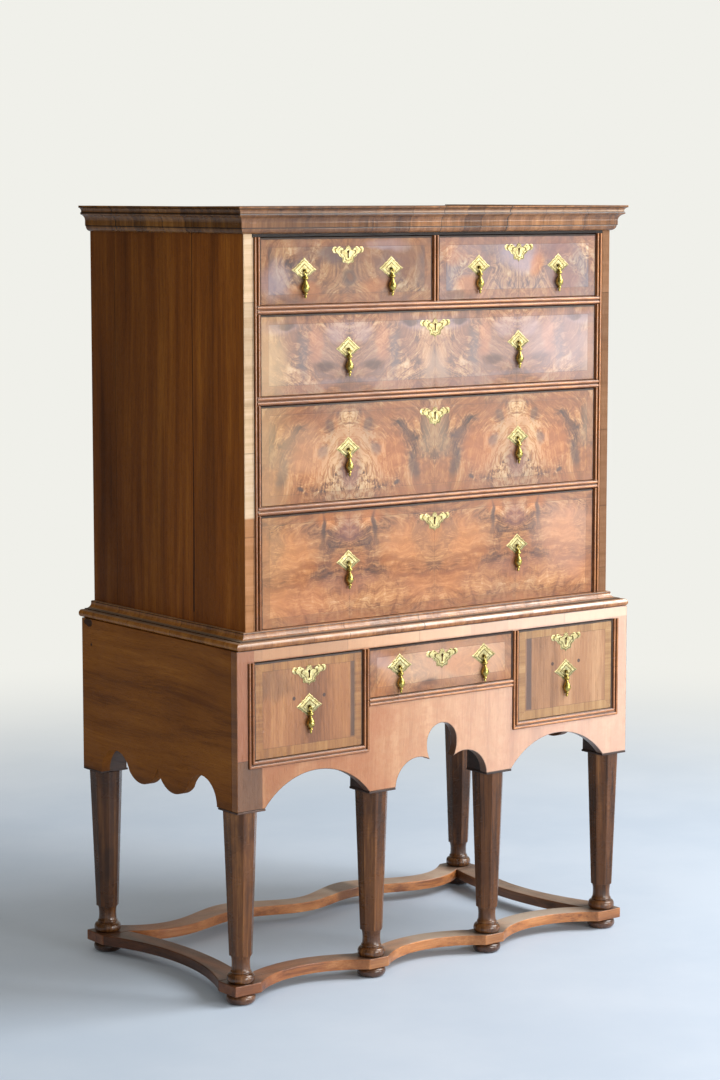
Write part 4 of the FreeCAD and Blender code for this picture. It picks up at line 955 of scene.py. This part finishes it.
# %% Deep drawers
for drawer, seed, bar, middle, dim, tone_and_sheen in (
    ("stand_left_drawer", 1.5, -0.2225, -0.3295, 0.6, (0.88, 0.81, 0.66)),
    ("stand_right_drawer", 3.9, 0.2295, 0.3295, 0.15, (0.99, 1.12, 1.26)),
):
    place = start(drawer + "_veneer")
    x, y, z = split(place)
    low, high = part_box(drawer + "_front")
    field = wood(place, ((124, 78, 46), (164, 110, 70), (190, 138, 94)), seed, Bands=24.0, Waver=0.1)
    edge = use("crossband", Vector=place, Low=low, High=high, Width=0.019)
    band = wood(edge["Grain"], ((132, 88, 46), (166, 118, 68), (190, 146, 92)), seed + 2, Bands=80.0)["Color"]
    smoke = spread(noise(shifted(place, 10.0, (0, seed, 0), 0.08), 8.0, 4.0), 0.45, 0.66)
    inlay = mark_at(x, bar, 0.0095) * spread(z, low.z + 0.019, low.z + 0.022)
    colour = layered(
        field["Color"], (smoke * dim, (112, 80, 54)), (inlay * 0.8, (66, 50, 48)), (edge["Band"] * 0.7, band),
        (edge["Joint"] * 0.45, (70, 44, 32)),
    )
    # The left front's warm tint is its own tone; the right front's cool tint paints the sheen of a bright
    # room.
    colour = tinted(colour, tone_and_sheen)
    for side in (-0.036, 0.036):
        to_hole = maths("DISTANCE", place, (middle + side, low.y, 0.5905))
        colour = layered(colour, (spread(to_hole, 0.0045, 0.003), (74, 48, 36)))
    polish = use("old_polish", Vector=place, Shine=0.28, Dull=0.48)
    worn = use("worn_edge", Vector=place)["Wear"]
    # Wear on the edges, and a painted shadow in the gap round the front.
    colour = layered(colour, (worn * 0.4, (180, 128, 84)), (edge["Rim"] * 0.92, (24, 14, 10)))
    height = polish["Height"] * 0.9 + field["Height"]
    colour = with_core(place, colour, (low, high))
    complete(colour, polish["Roughness"], height, Coat_Weight=0.2, Coat_Roughness=0.22)

# %% The shallow drawer between them
burr_front(
    "stand_middle_drawer", 0.0, (0.09, 0, 0.60), (1.0, 0, 1.6), 0.12, 6.1, 0.2, 0.8, 0.0, 0.19, 0.5,
    painted_sheen=(1.08, 1.26, 1.46),
    own=[
        (20, 625, 200, 50, (206, 166, 136), 0.5), (-28, 582, 26, 8, SOOT, 0.7),
        (-150, 640, 30, 20, LILAC, 0.4), (60, 620, 60, 30, ORANGE, 0.3),
    ],
)

# %% [markdown]
# ## Brass
# The plates were cast thin, filed and chased, and are still bright from rubbing. The drops hang clear of
# the cloth, so they have browned. Dirt stays in the chasing of the plates.


# %% Plates, drops, pins and locks
def brass(name, bright, tarnish, shine, dull, amount, chased=False):
    place = start(name)
    mottled = spread(noise(place, 160.0, 4.0, 0.62), 0.36, 0.66)
    colour = blend(mottled * amount, paint(*bright), paint(*tarnish))
    height = noise(place, 420.0, 3.0)
    if chased:
        flat = put("UVMap", uv_map="plate")[0]
        cells = put("TexVoronoi", {"Vector": flat, "Scale": 1.0, "Randomness": 0.75})["Distance"]
        rim = put("Attribute", attribute_name="rim")["Fac"]
        lines = larger(mark_at(rim, 0.80, 0.055), mark_at(rim, 0.46, 0.05))
        cuts = larger(lines, spread(cells, 0.30, 0.16) * spread(rim, 0.88, 0.74))
        colour = layered(colour, (cuts * 0.78, (70, 54, 26)))
        height = height - cuts * 2.6
    complete(colour, spread(mottled, 0.0, 1.0, shine, dull), height, 0.00018, Metallic=1.0)


brass("plate_brass", (192, 180, 132), (148, 134, 86), 0.3, 0.46, 0.7, chased=True)
brass("drop_brass", (196, 176, 98), (132, 114, 56), 0.18, 0.34, 0.7)
brass("pin_brass", (226, 198, 116), (170, 134, 66), 0.24, 0.4, 0.6)
place = start("lock_iron")
rust = spread(noise(place, 70.0, 5.0, 0.65), 0.4, 0.62)
colour = blend(rust, paint(84, 82, 82), paint(94, 66, 48))
complete(colour, spread(rust, 0.0, 1.0, 0.4, 0.75), noise(place, 300.0, 3.0), 0.0002, Metallic=0.8)
print("finishes:", len(FINISHES))

# %% [markdown]
# ## Softened boards
# No edge on an old chest is sharp. A copy of each built board has its loose triangles merged, its long
# arrises rounded by a fraction of a millimetre, and those new faces marked, so that its finish can wear
# them. Holes for pins and keys keep their edges.


# %% Work on a piece, and let it take a node's place
def work_on(*pieces):
    """Selects these pieces only. The first is the one that operators act on."""
    bpy.ops.object.select_all(action="DESELECT")
    for piece in pieces:
        piece.select_set(True)
        bpy.context.view_layer.objects.active = pieces[0]


@contextmanager
def whole_mesh():
    """Opens the active piece for editing, with all of its mesh selected."""
    bpy.ops.object.mode_set(mode="EDIT")
    bpy.ops.mesh.select_all(action="SELECT")
    yield
    bpy.ops.object.mode_set(mode="OBJECT")


def smooth_below(angle):
    """Smooths the active piece over edges that turn by less than this many degrees."""
    bpy.ops.object.shade_smooth_by_angle(angle=math.radians(angle))


def settle(piece, body, slot, *nodes):
    """Lets a finished piece ride on its body, in place of the built nodes."""
    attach(piece, body)
    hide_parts(*nodes)


# %% Round the edges of the active piece
def rounded(piece, width, box=None, **choice):
    """Bevels the chosen edges inside a box, marks the new faces for the finish to wear, and smooths them."""
    piece.data.materials.append(piece.data.materials[0])
    bevel = piece.modifiers.new("arris", "BEVEL")
    for setting, value in {"width": width, "segments": 2, "material": 1, **choice}.items():
        setattr(bevel, setting, value)
    bpy.ops.object.modifier_apply(modifier="arris")
    mesh = piece.data
    if box:
        low, high = box
        for vertex in mesh.vertices:
            for axis in range(3):
                vertex.co[axis] = min(max(vertex.co[axis], low[axis]), high[axis])
    mark = mesh.attributes.new("arris", "FLOAT", "CORNER")
    for face in mesh.polygons:
        for corner in face.loop_indices:
            mark.data[corner].value = float(face.material_index)
        face.material_index = 0
    mesh.materials.pop(index=1)
    smooth_below(34)
    piece.modifiers.new("even", "WEIGHTED_NORMAL").keep_sharp = True
    bpy.ops.object.modifier_apply(modifier="even")


# %% Soften a board
MERGE_DISTANCE = 0.00002
SHORTEST_ARRIS = 0.004
FLAT, SHARP = math.radians(0.6), math.radians(38)


def softened(node, finish, slot, width):
    source = frame["nodes"][node]
    piece = bpy.data.objects.new(node + "_softened", source.data.copy())
    scene.collection.objects.link(piece)
    mesh = piece.data
    mesh.materials.clear()
    mesh.materials.append(FINISHES[finish])
    work_on(piece)
    with whole_mesh():
        bpy.ops.mesh.remove_doubles(threshold=MERGE_DISTANCE)
        bpy.ops.mesh.intersect_boolean(operation="UNION", use_self=True, solver="EXACT")
        bpy.ops.mesh.select_all(action="SELECT")
        bpy.ops.mesh.remove_doubles(threshold=MERGE_DISTANCE)
        bpy.ops.mesh.dissolve_limited(angle_limit=FLAT, delimit=set())
    normals = {}
    for face in mesh.polygons:
        face.material_index = 0
        for key in face.edge_keys:
            normals.setdefault(key, []).append(face.normal)
    weight = mesh.attributes.new("bevel_weight_edge", "FLOAT", "EDGE")
    for edge in mesh.edges:
        beside = normals.get(edge.key, [])
        first, last = (mesh.vertices[number].co for number in edge.vertices)
        long_enough = (first - last).length > SHORTEST_ARRIS
        if long_enough and len(beside) == 2 and beside[0].angle(beside[1], 0.0) > SHARP:
            weight.data[edge.index].value = 1.0
    rounded(piece, width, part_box(node), limit_method="WEIGHT", use_clamp_overlap=False)
    settle(piece, source["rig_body"], slot, node)


# %% Soften the case, the stand and the drawer fronts
for node, finish, slot, width in (
    ("upper_left_side", "left_side_walnut", "side_wood", 0.0012),
    ("upper_right_side", "right_side_walnut", "side_wood", 0.0012),
    ("upper_top_board", "top_walnut", "hidden_wood", 0.001),
    ("upper_front_frame", "crossbanded_stile", "crossbanded_wood", 0.0008),
    ("stand_left_side", "stand_side_walnut", "stand_side_wood", 0.001),
    ("stand_right_side", "stand_side_walnut", "stand_side_wood", 0.001),
    ("stand_front_frame", "apron_walnut", "apron_wood", 0.0016),
    ("front_stretcher", "stretcher_walnut", "stretcher_wood", 0.0022),
    ("back_stretcher", "stretcher_walnut", "stretcher_wood", 0.0022),
    ("side_stretchers", "side_stretcher_walnut", "stretcher_wood", 0.0022),
    ("leg_blocks", "cap_walnut", "cap_wood", 0.0008),
):
    softened(node, finish, slot, width)
DRAWERS = [name for name in frame["record"]["behaviour"]["bodies"] if name.endswith("_drawer")]
for drawer in DRAWERS:
    slot = "stand_veneer" if drawer.startswith("stand") else "figured_veneer"
    softened(drawer + "_front", drawer + "_veneer", slot, 0.0010)
print("drawers:", DRAWERS)

# %% Dress the built nodes that stay as they are
DRESSED = {
    "cornice_moulding": "cornice_walnut", "waist_moulding": "waist_walnut", "upper_beading": "bead_walnut",
    "stand_beading": "bead_walnut", "upper_bottom_board": "old_pine", "upper_back_boards": "upright_pine",
    "stand_back_board": "old_pine", "stand_top_board": "old_pine", "drawer_runners": "old_pine",
    **{drawer + "_box": "drawer_oak" for drawer in DRAWERS},
}
for node, finish in DRESSED.items():
    piece = frame["nodes"][node]
    if not piece.material_slots:
        piece.data.materials.append(FINISHES[finish])
    for place in piece.material_slots:
        place.material = FINISHES[finish]

# %% [markdown]
# ## Turned parts
# A turner works from a list of diameters. The same list works here: a small ring is extruded upward from
# height to height and resized to each radius, which gives a closed shape with no seam. Eight sides
# instead of forty give the faceted legs.


# %% Turn a shape from radii and heights
def turned(name, finish, sides, outline, twist=0.0):
    """The outline holds a radius and a height in mm for each step, from the bottom to the top."""
    (radius, height), *steps = ((first / 1000, second / 1000) for first, second in outline)
    bpy.ops.mesh.primitive_circle_add(
        vertices=sides, radius=radius, fill_type="NGON", location=(0, 0, height), rotation=(0, 0, twist)
    )
    piece = bpy.context.object
    piece.name = name
    piece.data.materials.append(FINISHES[finish])
    bpy.ops.object.transform_apply()
    with whole_mesh():
        for next_radius, next_height in steps:
            bpy.ops.mesh.extrude_region_move(TRANSFORM_OT_translate={"value": (0, 0, next_height - height)})
            share = next_radius / radius
            bpy.ops.transform.resize(value=(share, share, 1), center_override=(0, 0, next_height))
            radius, height = next_radius, next_height
        bpy.ops.mesh.select_all(action="SELECT")
        bpy.ops.mesh.normals_make_consistent(inside=False)
    return piece


def join(pieces, name):
    work_on(*pieces)
    bpy.ops.object.join()
    pieces[0].name = name
    return pieces[0]


def copy_to(piece, name, place, turn=Matrix.Identity(4)):
    """A copy with its own mesh, turned or stretched in the mesh and then moved."""
    made = bpy.data.objects.new(name, piece.data.copy())
    made.data.transform(Matrix.Translation(place) @ turn)
    scene.collection.objects.link(made)
    return made


# %% The tapered leg, and the collar, neck and knop under it
OCTAGON = 1 / math.cos(math.pi / 8)
taper = turned("leg_taper", "leg_walnut", 8, [(21.6 * OCTAGON, 94.9), (31.2 * OCTAGON, 380)], math.pi / 8)
rounded(taper, 0.0010, limit_method="ANGLE", angle_limit=math.radians(30))
collar = turned("leg_collar", "leg_walnut", 40, [
    (18.5, 41), (22.4, 41.2), (25.0, 42.6), (26.8, 45.0), (27.6, 48.4), (27.6, 51.4), (26.8, 54.8),
    (25.0, 57.6), (22.4, 59.4), (20.0, 59.9), (19.6, 60.6), (20.4, 61.4), (20.7, 62.8), (20.3, 64.2),
    (19.2, 65.2), (18.4, 68), (17.8, 74), (17.7, 80), (18.0, 86), (18.6, 90), (19.2, 92.2), (19.4, 95.2),
])
smooth_below(50)
foot = turned("foot_turning", "foot_walnut", 44, [
    (19.5, 0), (22.5, 0.4), (25.6, 2.2), (27.9, 5.2), (29, 9.4), (28.9, 12.4), (27.8, 15.8), (25.6, 18.2),
    (23, 19.5), (20, 20),
])
smooth_below(50)

# %% Six of each
LEG_PLACES = [(x, -LEG_Y) for x in (-CORNER_LEG_X, -MIDDLE_LEG_X, MIDDLE_LEG_X, CORNER_LEG_X)]
LEG_PLACES += [(-CORNER_LEG_X, BACK_LEG_Y), (CORNER_LEG_X, BACK_LEG_Y)]
legs, feet = [], []
for number, (x, y) in enumerate(LEG_PLACES):
    spin = Matrix.Rotation(number * math.pi / 2, 4, "Z")
    legs += [copy_to(model, "turning", (x, y, 0), spin) for model in (taper, collar)]
    feet.append(copy_to(foot, "turning", (x, y, 0), spin))
for model in (taper, collar, foot):
    bpy.data.objects.remove(model)
settle(join(legs, "turned_legs"), "case", "leg_wood", "legs")
settle(join(feet, "turned_feet"), "case", "leg_wood", "bun_feet")
print("legs:", len(LEG_PLACES))

# %% [markdown]
# ## Pear drops
# Each drop is turned with a pear-shaped belly, cut flat at the back so that it lies against the plate,
# and ends upward in an eye. It hangs from the staple by that eye, and swings on it.

# %% One drop
drop = turned("drop_turning", "drop_brass", 28, [
    (1.3, -52), (2.2, -50.8), (2.6, -49.2), (2.4, -47.6), (1.8, -46.4), (2.2, -45.6), (3.9, -44.8),
    (4.3, -43.6), (3.8, -42.5), (3.1, -41.6), (4.4, -40.2), (6.3, -38), (7.7, -35.4), (8.2, -32.6),
    (7.9, -30), (7, -27.4), (5.6, -24.8), (4.4, -22.6), (3.5, -20.6), (2.9, -18.6), (2.8, -17.2),
    (3.6, -16.2), (5.4, -15.3), (6, -14.1), (5.7, -12.7), (4.6, -11.6), (3.4, -10.6), (2.8, -9.2),
    (2.4, -7.8), (2.2, -6.7),
])
BACK = 0.0035
with whole_mesh():
    bpy.ops.mesh.bisect(plane_co=(0, BACK, 0), plane_no=(0, 1, 0), use_fill=True, clear_outer=True)
smooth_below(40)

# %% Its eye
EYE_RADIUS = 0.0034
eye_place = (0, 0, -EYE_RADIUS)
bpy.ops.mesh.primitive_torus_add(
    major_radius=EYE_RADIUS, minor_radius=0.00115, major_segments=28, minor_segments=12,
    location=eye_place, rotation=(math.pi / 2, 0, 0)
)
eye = bpy.context.object
bpy.ops.object.transform_apply()
with whole_mesh():
    bpy.ops.transform.resize(value=(0.94, 0.92, 1.0), center_override=eye_place)
bpy.ops.object.shade_smooth()
eye.data.materials.append(FINISHES["drop_brass"])
drop = join([drop, eye], "drop_model")

# %% [markdown]
# ## Plates
# A plate is a strip of sheet wrapped round its hole: a grid with as many columns as the outline has
# points, and a few rows from the hole to the rim. The rows give the chamfered rim and a slight dome.
# Fine file cuts along the rim give the serrated edge of the real ones.

# %% Walk up half an outline
CURVE_STEPS = 8


def walked(half):
    """Goes up the right half of an outline. A point with a third value bows the line beside it."""
    path = [Vector(half[0])]
    bow = None
    for point in half[1:]:
        first, last = path[-1], Vector(point[:2])
        if len(point) == 3:
            bow = last
        elif bow is None:
            path.append(last)
        else:
            pull = 2 * bow - (first + last) / 2
            for share in (step / CURVE_STEPS for step in range(1, CURVE_STEPS + 1)):
                path.append(first.lerp(pull, share).lerp(pull.lerp(last, share), share))
            bow = None
    return path


# %% Close it and file its rim
OUTLINE_POINTS = 288


def closed(half):
    """Mirrors a half outline and spaces points evenly round it, from the bottom, rightward first."""
    path = walked(half)
    path += [Vector((-point.x, point.y)) for point in reversed(path[:-1])]
    walk = [0.0]
    for first, last in zip(path, path[1:]):
        walk.append(walk[-1] + (last - first).length)
    points = []
    part = 0
    for number in range(OUTLINE_POINTS):
        wanted = walk[-1] * number / OUTLINE_POINTS
        while walk[part + 1] < wanted:
            part += 1
        share = (wanted - walk[part]) / (walk[part + 1] - walk[part])
        points.append(path[part].lerp(path[part + 1], share))
    return points


def filed(points, depth):
    """Cuts small teeth along an outline, one every four points."""
    made = []
    for number, point in enumerate(points):
        onward = points[(number + 1) % len(points)] - points[number - 1]
        outward = Vector((onward.y, -onward.x)).normalized()
        made.append(point + outward * depth * (0.5 if number % 4 in (0, 1) else -0.5))
    return made


# %% Press a plate
CHASED_CELLS = 420


def pressed(name, rim, hole, dome):
    """Wraps a strip of sheet from the hole to the rim, and round the back. It faces -Y."""
    # Each row holds how far out it lies, how high in mm, and its mark for the chasing.
    rows = [
        (0.0, 0.0, 0.0), (0.0, 0.9, 0.0), (0.10, 1.2 + dome, 0.2), (0.55, 1.1 + dome * 0.6, 0.55),
        (0.93, 0.95, 0.9), (1.0, 0.45, 1.0), (1.0, 0.0, 1.0), (0.0, 0.0, 0.0),
    ]
    strips = len(rows) - 1
    bpy.ops.mesh.primitive_grid_add(x_subdivisions=OUTLINE_POINTS, y_subdivisions=strips, size=1)
    piece = bpy.context.object
    piece.name = name
    mesh = piece.data
    mark = mesh.attributes.new("rim", "FLOAT", "POINT")
    for vertex in mesh.vertices:
        column = round((vertex.co.x + 0.5) * OUTLINE_POINTS) % OUTLINE_POINTS
        out, lift, share = rows[round((vertex.co.y + 0.5) * strips)]
        spot = hole[column].lerp(rim[column], out)
        vertex.co = (spot.x / 1000, -lift / 1000, spot.y / 1000)
        mark.data[vertex.index].value = share
    mesh.uv_layers.remove(mesh.uv_layers[0])
    chart = mesh.uv_layers.new(name="plate")
    for loop in mesh.loops:
        spot = mesh.vertices[loop.vertex_index].co
        chart.data[loop.index].uv = (spot.x * CHASED_CELLS, spot.z * CHASED_CELLS)
    with whole_mesh():
        bpy.ops.mesh.remove_doubles(threshold=0.000001)
        bpy.ops.mesh.normals_make_consistent(inside=False)
    mesh.materials.append(FINISHES["plate_brass"])
    smooth_below(30)
    return piece


# %% The lozenge behind a drop, nearly straight sides with two small steps each
LOZENGE = [
    (29.2 * out, 2.0 + up * (23.3 if up > 0 else 20.8), *bow) for out, up, *bow in (
        (0, -1), (0.10, -0.86), (0.28, -0.72), (0.33, -0.60), (0.55, -0.44), (0.60, -0.33), (0.84, -0.13, 1),
        (1, 0), (0.84, 0.12, 1), (0.60, 0.33), (0.55, 0.44), (0.33, 0.58), (0.28, 0.70), (0.12, 0.84), (0, 1),
    )
]
turns = [2 * math.pi * number / OUTLINE_POINTS - math.pi / 2 for number in range(OUTLINE_POINTS)]
round_hole = [Vector((3.4 * math.cos(turn), 3.4 * math.sin(turn))) for turn in turns]
lozenge = pressed("lozenge_model", filed(closed(LOZENGE), 0.55), round_hole, 0.5)

# %% The cartouche round a keyhole
CARTOUCHE = [
    (0, -19.3), (1.8, -17.2), (4.5, -15.2, 1), (10.8, -14.6), (13.4, -13, 1), (13.6, -9.4), (15.4, -5, 1),
    (20.5, -2.6), (23.8, 2.6, 1), (27.8, 5.6), (32, 4, 1), (36.2, 5.8), (38, 10, 1), (36.2, 14.2),
    (32, 16, 1), (28.3, 14.6), (26.4, 12.8), (21, 16.2, 1), (14.8, 12.4), (12.4, 9.2, 1), (9.8, 8.6),
    (7.6, 9.8, 1), (6, 13), (4, 16.4, 1), (1.6, 16.6), (0, 19.3),
]
KEYHOLE = [(0, -6.2), (1.6, -6.2), (1.6, 3.8), (2.9, 6.2, 1), (0, 9.1)]
cartouche = pressed("cartouche_model", filed(closed(CARTOUCHE), 0.5), closed(KEYHOLE), 0.1)

# %% [markdown]
# ## Staples, pins and locks
# A drop hangs on a bent wire: a half ring in front, two legs through the front, and tails clinched flat
# behind it. The cartouche is nailed with two small round-headed pins, and an iron lock sits behind.

# %% One staple, a round wire along a curve
bend = [math.pi * step / 8 for step in range(9)]
half_loop = [(-2.6 * math.sin(angle), 2.6 * math.cos(angle)) for angle in bend]
upper_leg = [(25.9, 12.6), (25.9, 8.0), (25.9, 4.6), (25.7, 3.0), (24.2, 2.6), (20.0, 2.6), (8.0, 2.6)]
lower_leg = [(y, -z) for y, z in reversed(upper_leg)]
wire = upper_leg + half_loop + lower_leg
bpy.ops.curve.primitive_nurbs_path_add()
staple = bpy.context.object
staple.name = "staple_model"
curve = staple.data
spline = curve.splines[0]
spline.points.add(len(wire) - len(spline.points))
for point, (y, z) in zip(spline.points, wire):
    point.co = (0, y / 1000, z / 1000, 1)
spline.order_u = 3
spline.use_endpoint_u = True
spline.resolution_u = 4
curve.bevel_depth = 0.0008
curve.bevel_resolution = 3
curve.use_fill_caps = True
bpy.ops.object.convert(target="MESH")
staple.data.materials.append(FINISHES["drop_brass"])
bpy.ops.object.shade_smooth()

# %% One pin and one lock
pin = turned("pin_model", "pin_brass", 16, [(1.3, 0), (1.25, 0.3), (1.0, 0.65), (0.6, 0.9), (0.2, 1.0)])
pin.data.transform(Matrix.Rotation(math.pi / 2, 4, "X"))
smooth_below(60)
bpy.ops.mesh.primitive_cube_add(size=1, location=(0, 0.0155, 0.003), scale=(0.056, 0.009, 0.034))
lock = bpy.context.object
lock.name = "lock_model"
bpy.ops.object.transform_apply()
with whole_mesh():
    bpy.ops.mesh.select_all(action="DESELECT")
for face in lock.data.polygons:
    face.select = face.normal.y > 0.9
bpy.ops.object.mode_set(mode="EDIT")
for margin, sunk in ((0.004, -0.0012), (0.006, 0.0010)):
    bpy.ops.mesh.inset(thickness=margin, depth=0.0)
    bpy.ops.transform.translate(value=(0, sunk, 0))
bpy.ops.object.mode_set(mode="OBJECT")
lock.data.materials.append(FINISHES["lock_iron"])

# %% Where each drawer has its keyhole, and then its drops
FITTINGS = {
    "small_left_drawer": [(-0.216, 1.437), (-0.321, 1.408), (-0.111, 1.408)],
    "small_right_drawer": [(0.216, 1.437), (0.111, 1.408), (0.321, 1.408)],
    "second_drawer": [(0, 1.291), (-0.216, 1.255), (0.216, 1.255)],
    "third_drawer": [(0, 1.116), (-0.216, 1.061), (0.216, 1.061)],
    "fourth_drawer": [(0, 0.906), (-0.216, 0.840), (0.216, 0.840)],
    "stand_left_drawer": [(-0.3295, 0.634), (-0.3295, 0.571)],
    "stand_middle_drawer": [(0, 0.633), (-0.108, 0.626), (0.108, 0.626)],
    "stand_right_drawer": [(0.3295, 0.634), (0.3295, 0.571)],
}

# %% Fit the brasses to every drawer
PIVOT_OUT = 0.005
PIN_OUT, PIN_SIDE, PIN_UP = 0.0009, 0.0322, 0.0102
STAND_PLATE_SIZE = 1.07
for drawer in DRAWERS:
    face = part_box(drawer + "_front")[0].y
    size = STAND_PLATE_SIZE if drawer.startswith("stand") else 1.0
    stretch = Matrix.Diagonal((size, 1, size, 1))
    (x, z), *pivots = FITTINGS[drawer]
    fitted = []
    for pivot_x, pivot_z in pivots:
        fitted.append(copy_to(lozenge, "plate", (pivot_x, face, pivot_z), stretch))
        fitted.append(copy_to(staple, "staple", (pivot_x, face - PIVOT_OUT, pivot_z)))
    fitted.append(copy_to(cartouche, "plate", (x, face, z), stretch))
    fitted.append(copy_to(lock, "lock", (x, face, z)))
    for side in (-PIN_SIDE, PIN_SIDE):
        fitted.append(copy_to(pin, "pin", (x + side * size, face - PIN_OUT, z + PIN_UP * size)))
    settle(join(fitted, drawer + "_fittings"), drawer, "plate_brass", drawer + "_brasses")
    nodes = [name for name in frame["nodes"] if name.startswith(drawer) and name.endswith("_drop")]
    for node in nodes:
        low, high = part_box(node)
        x, z = min(pivots, key=lambda pivot: abs(pivot[0] - (low.x + high.x) / 2))
        hung = copy_to(drop, node + "_turned", (x, face - PIVOT_OUT, z))
        settle(hung, frame["nodes"][node]["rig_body"], "drop_brass", node)
for model in (lozenge, cartouche, staple, pin, lock, drop):
    bpy.data.objects.remove(model)
